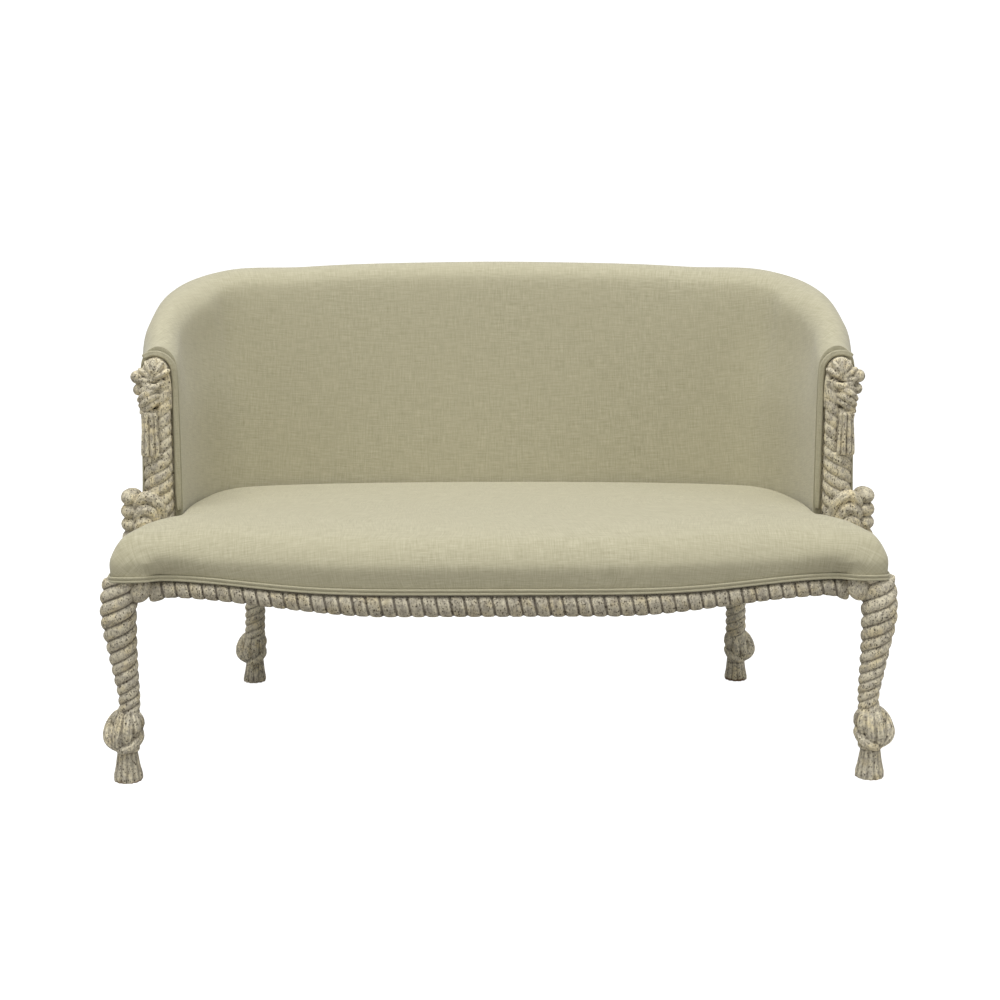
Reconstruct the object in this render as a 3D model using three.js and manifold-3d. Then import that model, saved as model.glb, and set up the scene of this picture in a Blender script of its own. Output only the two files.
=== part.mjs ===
// A cabriole settee with a curved upholstered back. The painted show wood is carved as rope:
// knotted legs that end in tassel feet, a rope moulding under the seat and knotted arm posts.
// Millimetres, +Z up, +X to the right as seen from the front, which faces -Y.
import * as THREE from "three";
import { mergeVertices } from "three/addons/utils/BufferGeometryUtils.js";
import Module from "manifold-3d";

const wasm = await Module();
wasm.setup();

// Driving dimensions of the whole settee. Depths are counted back from the line of the front feet.
const FRONT_FEET_BEFORE_CENTRE = 292;
const FRONT_FOOT_X = 655;
const FRONT_FOOT_DEPTH = 12;
const REAR_FOOT_X = 511;
const REAR_FOOT_DEPTH = 636;
const BACK_HEIGHT = 885;
const ARM_HEIGHT = 752;
const TOUCH_GAP = 0.3;

// Seat rails. The tacking face carries the covers; the rope moulding stands proud below it.
const RAIL_TOP = 392;
const SEAT_CROWN_RISE = 64;
const SEAT_CROWN_HEIGHT = RAIL_TOP + SEAT_CROWN_RISE;
const RAIL_THICKNESS = 28;
const RAIL_SIDE_X = 650;
const RAIL_BACK_DEPTH = 602;
const RAIL_CORNER_START = 200;
const RAIL_CORNER_POWER = 5;
const FRONT_RAIL_END_DEPTH = 2;
const FRONT_RAIL_BOW = 67;
const FRONT_RAIL_BOW_RUN = 420;
const MOULDING_END_BOTTOM = 331.5;
const MOULDING_END_TOP = 362;
const MOULDING_BOTTOM_DIP = 20.5;
const MOULDING_TOP_DIP = 13;
const MOULDING_TOP_DIP_RUN = 300;
const MOULDING_PROUD = 10;
const MOULDING_BAND = 24;
const MOULDING_BAND_SHIFT = 7;
const MOULDING_GROOVE = 4;
const CORNER_BLOCK_SIZE = 62;
const CORNER_BLOCK_HEIGHT = 36;
const SCREW_RADIUS = 2.4;
const SCREW_LENGTH = 52;
const SCREW_HEAD_RADIUS = 5;
const SCREW_HEAD = 3;
const SCREW_SPREAD = 18;

// Front legs. The block under the seat corner takes both rails.
const LEG_BLOCK_INNER_X = 605;
const LEG_BLOCK_WIDTH = 61;
const LEG_BLOCK_FRONT_DEPTH = -22;
const LEG_BLOCK_DEPTH = 64;
const LEG_BLOCK_ROUNDING = 15;
const FRONT_TASSEL_RADIUS = 25.5;
const FRONT_TASSEL_HEIGHT = 56;
const FRONT_KNOT_RADIUS = 36.5;
const FRONT_KNOT_HEIGHT = 93;
const FRONT_COLLAR_RADIUS = 28;
const FRONT_COLLAR_HEIGHT = 122;
const FRONT_ANKLE_RADIUS = 19;
const FRONT_ANKLE_INSET = 7;
const FRONT_ANKLE_HEIGHT = 140;
const FRONT_KNEE_RADIUS = 31.5;
const FRONT_KNEE_OUTSET = 4;
const FRONT_KNEE_HEIGHT = 300;
const STRAND_RISE = 20;
const BRACKET_DROP = 88;
const BRACKET_HALF_DEPTH = 15;

// Rear legs, splayed out and raked back.
const REAR_LEG_TOP_X = 495;
const REAR_BLOCK_HALF_WIDTH = 28;
const REAR_LEG_TOP_DEPTH = RAIL_BACK_DEPTH - REAR_BLOCK_HALF_WIDTH;
const REAR_TASSEL_RADIUS = 24;
const REAR_TASSEL_HEIGHT = 46;
const REAR_KNOT_RADIUS = 33;
const REAR_KNOT_HEIGHT = 80;
const REAR_ROPE_RADIUS = 21.5;
const REAR_ROPE_START = 100;

// Curved wall of arms and back: its inner face in plan at seat height, its setbacks
// from seat to top and its layers.
const WALL_FRONT_DEPTH = 172;
const INNER_HALF_WIDTH = 571;
const INNER_BACK_DEPTH = 515;
const INNER_CORNER_POWER = 4.4;
const INNER_BACK_SETBACK = 38;
const OUTER_BACK_SETBACK = 40;
const ARM_TUCK = 12;
const ARM_TUCK_RUN = 90;
const ROLL_HEIGHT = 46;
const WALL_FOOT = 399;
const FABRIC = 2;
const BURLAP = 1.5;
const OUTSIDE_PADDING = 4;
const FRAME_THICKNESS = 32;
const CREST_HEIGHT = 58;
const STAY_FOOT = 404;
const STAY_HEIGHT = 40;
const UPRIGHT_WIDTH = 52;

// Arm posts: a plain stile behind, the carving in front of it.
const POST_INNER_X = 585;
const POST_WIDTH = 53;
const POST_FRONT_DEPTH = 168;
const POST_DEPTH = 36;
const POST_RISE = 339;
const POST_ROPE_RADIUS = 26;
const POST_ROPE_DEPTH = 163;
const POST_LAP = 42;
const POST_TASSEL_DROP = 97;
const POST_TASSEL_LENGTH = 74;
const POST_KNOT_DROP = 76;
const POST_KNOT_RADIUS = 22;
const POST_KNOB_DROP = 34;
const POST_KNOB_RADIUS = 14;
const POST_BASE_RISE = 98;
const POST_BASE_REACH = 47;
const WELT_CORD = 6.6;

// Seat build-up, from the webbing to the crowned cover.
const SEAT_SIDE_END = 130;
const SEAT_EDGE_RUN = 60;
const SEAT_MIDDLE_HALF = 560;
const SEAT_MIDDLE_INSIDE_HALF = 380;
const SEAT_MIDDLE_FRONT = 120;
const SEAT_MIDDLE_BACK = 230;
const SKIRT_CORNER = 12;
const SKIRT_STEP_EASE = 10;
const WEBBING_WIDTH = 50;
const WEBBING = 2;
const DUST_COVER = 1;
const DUST_COVER_SAG_HEIGHT = 312;

const paint = { color: 0xc9c2ae, roughness: 0.75, metalness: 0 };
const materials = {
  paint: new THREE.MeshStandardMaterial(paint),
  wood: new THREE.MeshStandardMaterial({ color: 0xb48a5a, roughness: 0.8, metalness: 0 }),
  linen: new THREE.MeshStandardMaterial({ color: 0xb3ac8d, roughness: 0.95, metalness: 0 }),
  foam: new THREE.MeshStandardMaterial({ color: 0xe8dfb8, roughness: 0.95, metalness: 0 }),
  jute: new THREE.MeshStandardMaterial({ color: 0xa9834f, roughness: 0.95, metalness: 0 }),
  burlap: new THREE.MeshStandardMaterial({ color: 0xb99a68, roughness: 0.95, metalness: 0 }),
  cambric: new THREE.MeshStandardMaterial({ color: 0xb9b9b4, roughness: 0.95, metalness: 0 }),
  steel: new THREE.MeshStandardMaterial({ color: 0x9a9a9a, roughness: 0.4, metalness: 1 }),
};

const settee = new THREE.Group();
settee.position.y = -FRONT_FEET_BEFORE_CENTRE;

function place(name, geometry, material) {
  const mesh = new THREE.Mesh(geometry, material);
  mesh.name = name;
  settee.add(mesh);
}

const HANDS = [[-1, "left"], [1, "right"]];

// Numbers and points.
const point = (x, y, z) => new THREE.Vector3(x, y, z);
const flatPoint = (x, y) => new THREE.Vector2(x, y);
const mix = (a, b, share) => a + (b - a) * share;
const clampShare = (value) => Math.min(1, Math.max(0, value));
const smoothShare = (value) => clampShare(value) ** 2 * (3 - 2 * clampShare(value));
const turn = (share) => 2 * Math.PI * share;
const degrees = (angle) => (angle * Math.PI) / 180;
const counting = (count) => Array.from({ length: count }, (_, index) => index);

// Reads a table of [key, value, value, ...] rows, straight between the rows.
function readTable(table, key) {
  const next = table.findIndex((row) => row[0] >= key);
  if (next === 0) return table[0].slice(1);
  if (next < 0) return table[table.length - 1].slice(1);
  const low = table[next - 1];
  const high = table[next];
  const share = (key - low[0]) / (high[0] - low[0]);
  return low.slice(1).map((value, index) => mix(value, high[index + 1], share));
}

// Triangles to a geometry whose faces point out.
function closedBody(triangles) {
  let volume = 0;
  for (const [a, b, c] of triangles) volume += a.dot(b.clone().cross(c));
  const facing = volume < 0 ? triangles.map(([a, b, c]) => [a, c, b]) : triangles;
  const positions = facing.flatMap((corners) => corners.flatMap((corner) => corner.toArray()));
  const geometry = new THREE.BufferGeometry();
  geometry.setAttribute("position", new THREE.Float32BufferAttribute(positions, 3));
  return geometry;
}

// Which side of the line from a to b the spot lies on, and how far.
const sideOf = (a, b, spot) => (b.x - a.x) * (spot.y - a.y) - (b.y - a.y) * (spot.x - a.x);

// How well shaped a counterclockwise triangle is: 0 where it is flat or turned over.
function shapeShare(a, b, c) {
  const longest = Math.max(a.distanceToSquared(b), b.distanceToSquared(c), c.distanceToSquared(a));
  return Math.max(0, sideOf(a, b, c) / longest);
}

// Splits a flat counterclockwise outline into triangles, the best shaped first. Every corner is
// kept, also one that lies on a straight side.
function splitOutline(flat) {
  const left = counting(flat.length);
  const faces = [];
  while (left.length > 3) {
    let best = { share: 0, at: 0 };
    left.forEach((here, at) => {
      const before = left[(at + left.length - 1) % left.length];
      const after = left[(at + 1) % left.length];
      const [a, b, c] = [flat[before], flat[here], flat[after]];
      const share = shapeShare(a, b, c);
      if (share <= best.share) return;
      const blocked = left.some((other) => {
        if (other === before || other === here || other === after) return false;
        const spot = flat[other];
        return sideOf(a, b, spot) >= 0 && sideOf(b, c, spot) >= 0 && sideOf(c, a, spot) >= 0;
      });
      if (!blocked) best = { share, at };
    });
    const count = left.length;
    faces.push([left[(best.at + count - 1) % count], left[best.at], left[(best.at + 1) % count]]);
    left.splice(best.at, 1);
  }
  return [...faces, left];
}

// Fills a nearly flat ring of points of any outline.
function fillRing(ring) {
  const middle = ring.reduce((sum, corner) => sum.add(corner), point(0, 0, 0));
  middle.divideScalar(ring.length);
  const normal = point(0, 0, 0);
  ring.forEach((corner, index) => {
    const next = ring[(index + 1) % ring.length];
    normal.add(corner.clone().sub(middle).cross(next.clone().sub(middle)));
  });
  normal.normalize();
  const along = ring[1].clone().sub(ring[0]).projectOnPlane(normal).normalize();
  const across = normal.clone().cross(along);
  const flat = ring.map((corner) => flatPoint(corner.dot(along), corner.dot(across)));
  return splitOutline(flat).map((face) => face.map((index) => ring[index]));
}

// Joins neighbouring rings. The diagonal falls from one ring to the next, so that layers made on
// the same stations keep their clearance; a rope takes the shorter diagonal instead.
function skin(rings, closed, shortest) {
  const triangles = [];
  const last = closed ? rings.length : rings.length - 1;
  for (let step = 0; step < last; step += 1) {
    const here = rings[step];
    const there = rings[(step + 1) % rings.length];
    here.forEach((a, index) => {
      const follow = (index + 1) % here.length;
      const b = here[follow];
      const c = there[follow];
      const d = there[index];
      const level = Math.abs(a.z - b.z) < TOUCH_GAP;
      const falls = level ? a.length() >= b.length() : a.z > b.z;
      const first = shortest ? a.distanceTo(c) <= b.distanceTo(d) : falls;
      if (first) triangles.push([a, b, c], [a, c, d]);
      else triangles.push([a, b, d], [b, c, d]);
    });
  }
  return triangles;
}

function loft(rings, shortest = false) {
  const start = fillRing(rings[0]).map(([a, b, c]) => [a, c, b]);
  const end = fillRing(rings[rings.length - 1]);
  return closedBody([...skin(rings, false, shortest), ...start, ...end]);
}

const loop = (rings) => closedBody(skin(rings, true, true));

// Joins and cuts of closed bodies.
function toSolid(geometry) {
  const source = geometry.index ? geometry.toNonIndexed() : geometry.clone();
  const bare = new THREE.BufferGeometry();
  bare.setAttribute("position", source.getAttribute("position"));
  const merged = mergeVertices(bare, TOUCH_GAP / 1000);
  const vertProperties = merged.attributes.position.array;
  const triVerts = new Uint32Array(merged.index.array);
  return new wasm.Manifold(new wasm.Mesh({ numProp: 3, vertProperties, triVerts }));
}

function toGeometry(solid) {
  const { vertProperties, triVerts } = solid.getMesh();
  const geometry = new THREE.BufferGeometry();
  geometry.setAttribute("position", new THREE.BufferAttribute(new Float32Array(vertProperties), 3));
  geometry.setIndex(new THREE.BufferAttribute(new Uint32Array(triVerts), 1));
  return geometry;
}

const join = (pieces) =>
  toGeometry(pieces.map(toSolid).reduce((sum, piece) => sum.add(piece)));
const cut = (body, tools) =>
  toGeometry(tools.map(toSolid).reduce((rest, tool) => rest.subtract(tool), toSolid(body)));
const keepInside = (body, limit) => toGeometry(toSolid(body).intersect(toSolid(limit)));

function block(low, high) {
  const geometry = new THREE.BoxGeometry(high.x - low.x, high.y - low.y, high.z - low.z);
  return geometry.translate((low.x + high.x) / 2, (low.y + high.y) / 2, (low.z + high.z) / 2);
}

// The same box on either side of the middle, given for the right side.
function sideBlock(side, low, high) {
  if (side > 0) return block(low, high);
  return block(point(-high.x, low.y, low.z), point(-low.x, high.y, high.z));
}

function plate(outline, foot, depth) {
  const shape = new THREE.Shape(outline);
  return new THREE.ExtrudeGeometry(shape, { depth, bevelEnabled: false }).translate(0, 0, foot);
}

// A level ring of points round a centre, with a radius for each angle.
function levelRing(centre, count, radiusAt, squashShare = 1) {
  return counting(count).map((index) => {
    const angle = turn(index / count);
    const radius = radiusAt(angle);
    const x = centre.x + radius * Math.cos(angle);
    return point(x, centre.y + radius * Math.sin(angle) * squashShare, centre.z);
  });
}

// A three-strand rope carved on an upright limb. The rows of points follow the strands, so crest
// and groove stay unbroken; lay is 1 where the strands rise to the right as seen from the front.
const STRANDS = 3;
const STRAND_PROFILE_SHARES = [0.82, 1.05, 1.03];
const STRAND_TURN_SHARE = 0.16;

function carvedRope(limb, from, to, lay, squashShare = 1) {
  const rise = STRAND_RISE * STRANDS * STRAND_TURN_SHARE;
  const steps = Math.max(2, Math.round((to - from) / rise));
  const count = STRANDS * STRAND_PROFILE_SHARES.length;
  const rings = counting(steps + 1).map((step) => {
    const height = mix(from, to, step / steps);
    const { x, y, radius } = limb(height);
    const spin = turn(step * STRAND_TURN_SHARE) * lay;
    return counting(count).map((index) => {
      const angle = turn(index / count) + spin;
      const reach = radius * STRAND_PROFILE_SHARES[index % STRAND_PROFILE_SHARES.length];
      return point(x + reach * Math.cos(angle), y + reach * Math.sin(angle) * squashShare, height);
    });
  });
  return loft(rings, true);
}

// A fluted tassel or gather, as rows of [height, radius] from the bottom up.
const TASSEL_FLUTES = 10;
const FLUTE_DEPTH_SHARE = 0.1;

function fluted(limb, rows, flutes = TASSEL_FLUTES, squashShare = 1) {
  const count = flutes * 2;
  const rings = rows.map(([height, radius]) => {
    const { x, y } = limb(height);
    const grooved = (angle) => {
      const groove = Math.round((angle / turn(1)) * count) % 2;
      return radius * (1 - groove * FLUTE_DEPTH_SHARE);
    };
    return levelRing(point(x, y, height), count, grooved, squashShare);
  });
  return loft(rings, true);
}

// One turn of rope lying round a knot: a closed ring tilted about the depth axis, then swung
// about the upright axis. An upright wrap runs over the front and back instead.
const WRAP_SIDES = 5;
const WRAP_STEPS = 9;

function wrap(centre, reach, thickness, tilt, swing = 0, upright = false) {
  const turned = new THREE.Matrix4().makeRotationZ(swing);
  turned.multiply(new THREE.Matrix4().makeRotationY(tilt + (upright ? turn(1 / 4) : 0)));
  const rings = counting(WRAP_STEPS).map((step) => {
    const angle = turn(step / WRAP_STEPS);
    return counting(WRAP_SIDES).map((side) => {
      const round = turn(side / WRAP_SIDES);
      const out = reach - thickness + thickness * Math.cos(round);
      const spot = point(out * Math.cos(angle), out * Math.sin(angle), thickness * Math.sin(round));
      return spot.applyMatrix4(turned).add(centre);
    });
  });
  return loop(rings);
}

const BULB_SIDES = 8;
const BULB_ROWS = 4;

function bulb(centre, radius, halfHeight, depthShare = 1) {
  const geometry = new THREE.SphereGeometry(radius, BULB_SIDES, BULB_ROWS);
  geometry.rotateX(turn(1 / 4));
  geometry.scale(1, depthShare, halfHeight / radius);
  return geometry.translate(centre.x, centre.y, centre.z);
}

// A flattened pad with a rounded rim.
const PAD_SHARES = [[-1, 0.78], [-0.55, 1], [0.55, 1], [1, 0.78]];

function pad(centre, radius, halfHeight, depthShare) {
  const rings = PAD_SHARES.map(([rise, reach]) => {
    const heart = centre.clone().setZ(centre.z + halfHeight * rise);
    return levelRing(heart, BULB_SIDES + 2, () => radius * reach, depthShare);
  });
  return loft(rings);
}

// Plan of the curved wall and of the rail under it: straight sides, then a rounded corner.
const STATION_COUNTS = [1, 8, 1, 3];
const PLAN_SAMPLES = 900;
const HALVINGS = 40;

function planPoint(share) {
  const angle = turn(share / 4);
  const power = 2 / RAIL_CORNER_POWER;
  return flatPoint(
    RAIL_SIDE_X * Math.cos(angle) ** power,
    RAIL_CORNER_START + (RAIL_BACK_DEPTH - RAIL_CORNER_START) * Math.sin(angle) ** power,
  );
}

// The right half of the rail's plan, from the front of the arm to the middle of the back, with
// the length walked so far.
function walkPlan() {
  const samples = [flatPoint(RAIL_SIDE_X, WALL_FRONT_DEPTH)];
  for (const index of counting(PLAN_SAMPLES)) samples.push(planPoint(index / (PLAN_SAMPLES - 1)));
  samples[samples.length - 1].x = 0;
  const walk = [{ spot: samples[0], length: 0 }];
  samples.slice(1).forEach((spot, index) => {
    walk.push({ spot, length: walk[index].length + spot.distanceTo(samples[index]) });
  });
  return walk;
}

const planWalk = walkPlan();
const planLength = planWalk[planWalk.length - 1].length;

function spotAtLength(length) {
  const rows = planWalk.map((step) => [step.length, step.spot.x, step.spot.y]);
  const [x, y] = readTable(rows, length);
  return flatPoint(x, y);
}

const lengthAtX = (x) => planWalk.find((step) => step.spot.x <= x).length;

// Distance from the tacking face in to the wall's inner face, along the wall's own normal.
function insideInner(spot) {
  const across = (Math.abs(spot.x) / INNER_HALF_WIDTH) ** INNER_CORNER_POWER;
  const reach = INNER_BACK_DEPTH - WALL_FRONT_DEPTH;
  const back = (Math.max(0, spot.y - WALL_FRONT_DEPTH) / reach) ** INNER_CORNER_POWER;
  return across + back <= 1;
}

function thicknessFrom(spot, outward) {
  let near = 0;
  let far = RAIL_SIDE_X - INNER_HALF_WIDTH + RAIL_BACK_DEPTH - INNER_BACK_DEPTH;
  for (let step = 0; step < HALVINGS; step += 1) {
    const middle = (near + far) / 2;
    if (insideInner(spot.clone().addScaledVector(outward, -middle))) far = middle;
    else near = middle;
  }
  return far;
}

function makeStation(length) {
  const spot = spotAtLength(length);
  const stride = planLength / PLAN_SAMPLES;
  const before = spotAtLength(Math.max(0, length - stride));
  const after = spotAtLength(Math.min(planLength, length + stride));
  const tangent = after.sub(before).normalize();
  const outward = flatPoint(tangent.y, -tangent.x);
  if (length === 0) outward.set(1, 0);
  if (length >= planLength) outward.set(0, 1);
  const thickness = thicknessFrom(spot, outward) + FABRIC + TOUCH_GAP;
  return { spot, outward, thickness, share: length / planLength };
}

const REAR_BLOCK_INNER_X = REAR_LEG_TOP_X - REAR_BLOCK_HALF_WIDTH;
const REAR_BLOCK_OUTER_X = REAR_LEG_TOP_X + REAR_BLOCK_HALF_WIDTH;

function makeStations() {
  const marks = [
    0,
    POST_FRONT_DEPTH + POST_DEPTH + TOUCH_GAP - WALL_FRONT_DEPTH,
    lengthAtX(REAR_BLOCK_OUTER_X),
    lengthAtX(REAR_BLOCK_INNER_X),
    planLength,
  ];
  const lengths = STATION_COUNTS.flatMap((count, leg) =>
    counting(count).map((step) => mix(marks[leg], marks[leg + 1], step / count)),
  );
  const half = [...lengths, planLength].map(makeStation);
  const mirrored = half.slice(0, -1).map((station) => ({
    ...station,
    spot: flatPoint(-station.spot.x, station.spot.y),
    outward: flatPoint(-station.outward.x, station.outward.y),
  }));
  return { half, all: [...mirrored, ...half.toReversed()] };
}

const { half: halfStations, all: wallStations } = makeStations();
const POST_STATION = STATION_COUNTS[0] + STATION_COUNTS[1];

// Height of the wall's top along it, as shares of the way and of the rise from arm to back.
const WALL_RISE_SHARES = [
  [0, 0], [0.1, 0.21], [0.23, 0.52], [0.4, 0.75], [0.5, 0.87], [0.6, 0.93], [0.7, 0.965], [1, 1],
];

function wallTop(station) {
  const [rise] = readTable(WALL_RISE_SHARES, station.share);
  return mix(ARM_HEIGHT, BACK_HEIGHT, rise);
}

// A point in the wall, by its distance out from the inner face and its height. The back leans
// out as it rises and the outside of the arm tucks in.
function wallPoint(station, out, height) {
  const back = station.outward.y ** 2;
  const rise = (height - RAIL_TOP) / (wallTop(station) - RAIL_TOP);
  const innerLean = INNER_BACK_SETBACK * back * clampShare(rise);
  const tuck = ARM_TUCK * (1 - back) * clampShare((height - RAIL_TOP) / ARM_TUCK_RUN);
  const outerLean = OUTER_BACK_SETBACK * station.outward.y * clampShare(rise) - tuck;
  const lean = mix(innerLean, outerLean, clampShare(out / station.thickness));
  const shift = FABRIC + TOUCH_GAP - station.thickness + out + lean;
  const spot = station.spot.clone().addScaledVector(station.outward, shift);
  return point(spot.x, spot.y, height);
}

// The padded outline of the wall at a station, from the foot of the inner face over the roll to
// the seam at the outer face, taken inwards by an inset.
const ROLL_STEPS = 6;
const INNER_FACE_SHARES = [0, 0.16, 0.6];

function paddedOutline(station, inset, steps = ROLL_STEPS) {
  const shoulder = wallTop(station) - ROLL_HEIGHT;
  const half = station.thickness / 2;
  const face = INNER_FACE_SHARES.map((share) =>
    wallPoint(station, inset, mix(WALL_FOOT, shoulder, share)),
  );
  const roll = counting(steps + 1).map((step) => {
    const angle = turn(step / steps / 2);
    const out = half - (half - inset) * Math.cos(angle);
    return wallPoint(station, out, shoulder + (ROLL_HEIGHT - inset) * Math.sin(angle));
  });
  return [...face, ...roll];
}

// Moves the end rings of a sweep a little along it, so that neighbours only nearly touch.
function trimEnds(rings, startTrim, endTrim) {
  const moved = (ring, next, trim) =>
    ring.map((corner, index) => {
      const away = next[index].clone().sub(corner);
      return corner.clone().addScaledVector(away.normalize(), trim);
    });
  const last = rings.length - 1;
  return rings.map((ring, index) => {
    if (index === 0) return moved(ring, rings[1], startTrim);
    if (index === last) return moved(ring, rings[last - 1], endTrim);
    return ring;
  });
}

// A member of the wall's frame: a band between two distances from the inner face.
function wallBand(stations, fromOut, toOut, footAt, topAt, trim = TOUCH_GAP / 2) {
  const rings = stations.map((station) => {
    const near = fromOut(station);
    const far = toOut(station);
    return [
      wallPoint(station, near, footAt(station)),
      wallPoint(station, near, topAt(station)),
      wallPoint(station, far, topAt(station)),
      wallPoint(station, far, footAt(station)),
    ];
  });
  return loft(trimEnds(rings, trim, trim));
}

const frameOuter = (station) => station.thickness - FABRIC - OUTSIDE_PADDING;
const frameInner = (station) => frameOuter(station) - FRAME_THICKNESS;
const burlapOuter = (station) => frameInner(station) - TOUCH_GAP;
const burlapInner = (station) => burlapOuter(station) - BURLAP;
const foamOuter = (station) => burlapInner(station) - TOUCH_GAP;
const frameTop = (station) => wallTop(station) - ROLL_HEIGHT - TOUCH_GAP;
const crestFoot = (station) => frameTop(station) - CREST_HEIGHT;
const fixed = (height) => () => height;

// Heights that the layers against the frame share with its members, from the top down.
const layerHeights = (station) => [
  frameTop(station),
  crestFoot(station),
  STAY_FOOT + STAY_HEIGHT,
  STAY_FOOT,
  WALL_FOOT,
];

// The front rail bows forward and its moulding dips towards the middle. Rail, cover, welt and
// dust cover all bend at the same places, given as shares of the way out from the middle.
const FRONT_STATION_SHARES = [0, 0.31, 0.42, 0.53, 0.64, 0.75, 0.86];

function frontRow(x) {
  const inward = LEG_BLOCK_INNER_X - x;
  const bow = smoothShare(inward / FRONT_RAIL_BOW_RUN);
  return [
    x,
    FRONT_RAIL_END_DEPTH - FRONT_RAIL_BOW * bow,
    MOULDING_END_BOTTOM - MOULDING_BOTTOM_DIP * bow,
    MOULDING_END_TOP - MOULDING_TOP_DIP * smoothShare(inward / MOULDING_TOP_DIP_RUN),
  ];
}

const frontStations = FRONT_STATION_SHARES.map((share) => share * LEG_BLOCK_INNER_X);
frontStations.push(LEG_BLOCK_INNER_X - SKIRT_CORNER);
const frontTable = [...frontStations, LEG_BLOCK_INNER_X].map(frontRow);
const frontDepth = (x) => readTable(frontTable, Math.abs(x))[0];

function mouldingHeights(x) {
  const [, foot, top] = readTable(frontTable, Math.abs(x));
  return { foot, top };
}

// A rail ring: the back, the rope moulding in relief and the tacking face above it. The frame
// gives the outward direction at this place, and groove is 1 in the valley between two bands.
const MOULDING_SHARES = [[0.1, 0.8], [0.62, 1]];

function railRing({ spot, outward, along, foot, top, groove, lean }) {
  const at = (out, height, slide = 0) => {
    const place2d = spot.clone().addScaledVector(outward, out).addScaledVector(along, slide);
    return point(place2d.x, place2d.y, height);
  };
  const relief = MOULDING_SHARES.map(([rise, proud]) => {
    const out = proud * (MOULDING_PROUD - MOULDING_GROOVE * groove);
    return at(out, mix(foot, top, rise), -lean * (rise - 1 / 2) * 2);
  });
  return [
    at(-RAIL_THICKNESS, foot),
    ...relief,
    at(0, top),
    at(0, RAIL_TOP),
    at(-RAIL_THICKNESS, RAIL_TOP),
  ];
}

const BAND_SHARES = [[0, 1], [0.45, 0]];

function frontRail() {
  const end = LEG_BLOCK_INNER_X - TOUCH_GAP;
  const bands = Math.round((2 * end) / MOULDING_BAND);
  const rings = [];
  for (let band = 0; band <= bands; band += 1) {
    for (const [share, groove] of BAND_SHARES) {
      const x = mix(-end, end, Math.min(1, (band + share) / bands));
      if (band === bands && share > 0) break;
      const edge = clampShare((end - Math.abs(x)) / MOULDING_BAND);
      rings.push(
        railRing({
          spot: flatPoint(x, frontDepth(x)),
          outward: flatPoint(0, -1),
          along: flatPoint(1, 0),
          ...mouldingHeights(x),
          groove,
          lean: MOULDING_BAND_SHIFT * edge,
        }),
      );
    }
  }
  return loft(rings, true);
}

// A side rail runs back from the leg block and round the corner to the rear leg's block. Its
// bands halve the wall's stations, so that rail and cover bend at the same places.
const SIDE_BAND_SHARES = [[0, 1], [0.25, 0], [0.5, 1], [0.75, 0]];
const legBlockBack = LEG_BLOCK_FRONT_DEPTH + LEG_BLOCK_DEPTH + TOUCH_GAP;

function sideRailPath() {
  const straightBands = Math.round((WALL_FRONT_DEPTH - legBlockBack) / (2 * MOULDING_BAND));
  const straight = counting(straightBands).map((step) => ({
    spot: flatPoint(RAIL_SIDE_X, mix(legBlockBack, WALL_FRONT_DEPTH, step / straightBands)),
    outward: flatPoint(1, 0),
  }));
  const corner = halfStations.slice(0, POST_STATION + 1).map(({ spot, outward }) => {
    return { spot: spot.clone(), outward: outward.clone() };
  });
  const last = corner[corner.length - 1];
  last.spot.x = REAR_BLOCK_OUTER_X + TOUCH_GAP;
  last.outward.set(0, 1);
  return [...straight, ...corner];
}

function sideRail(side) {
  const path = sideRailPath();
  const rings = [];
  path.forEach((here, index) => {
    const next = path[index + 1];
    const shares = next ? SIDE_BAND_SHARES : SIDE_BAND_SHARES.slice(0, 1);
    for (const [share, groove] of shares) {
      const spot = next ? here.spot.clone().lerp(next.spot, share) : here.spot.clone();
      const outward = next ? here.outward.clone().lerp(next.outward, share) : here.outward.clone();
      spot.x *= side;
      outward.x *= side;
      const ring = { spot, outward, along: flatPoint(0, 0), ...mouldingHeights(LEG_BLOCK_INNER_X) };
      rings.push(railRing({ ...ring, groove, lean: 0 }));
    }
  });
  return loft(rings, true);
}

function backRail() {
  const stations = wallStations.slice(POST_STATION + 1, wallStations.length - POST_STATION - 1);
  const rings = stations.map((station) => {
    const last = Math.abs(station.spot.x) > REAR_BLOCK_INNER_X - TOUCH_GAP;
    const outward = last ? flatPoint(0, 1) : station.outward;
    const inner = station.spot.clone().addScaledVector(outward, -RAIL_THICKNESS);
    return [
      point(station.spot.x, station.spot.y, MOULDING_END_BOTTOM),
      point(station.spot.x, station.spot.y, RAIL_TOP),
      point(inner.x, inner.y, RAIL_TOP),
      point(inner.x, inner.y, MOULDING_END_BOTTOM),
    ];
  });
  return loft(trimEnds(rings, TOUCH_GAP, TOUCH_GAP));
}

// Screws through the corner blocks into the leg blocks. The same cylinder, grown, bores for them.
const SCREW_SIDES = 6;

function turnedAlong({ mouth, heading, height }, profile) {
  const outline = profile.map(([radius, reach]) => flatPoint(radius, reach));
  const geometry = new THREE.LatheGeometry(outline, SCREW_SIDES);
  geometry.rotateZ(Math.atan2(-heading.x, heading.y));
  return geometry.translate(mouth.x, mouth.y, height);
}

function bore(screw) {
  const radius = SCREW_RADIUS + TOUCH_GAP;
  const depth = SCREW_LENGTH + TOUCH_GAP * 2;
  return turnedAlong(screw, [[0, -TOUCH_GAP], [radius, -TOUCH_GAP], [radius, depth], [0, depth]]);
}

function screwBody(screw) {
  return turnedAlong(screw, [
    [0, -SCREW_HEAD - TOUCH_GAP],
    [SCREW_HEAD_RADIUS, -SCREW_HEAD - TOUCH_GAP],
    [SCREW_HEAD_RADIUS, -TOUCH_GAP],
    [SCREW_RADIUS, -TOUCH_GAP],
    [SCREW_RADIUS, SCREW_LENGTH],
    [0, SCREW_LENGTH],
  ]);
}

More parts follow.
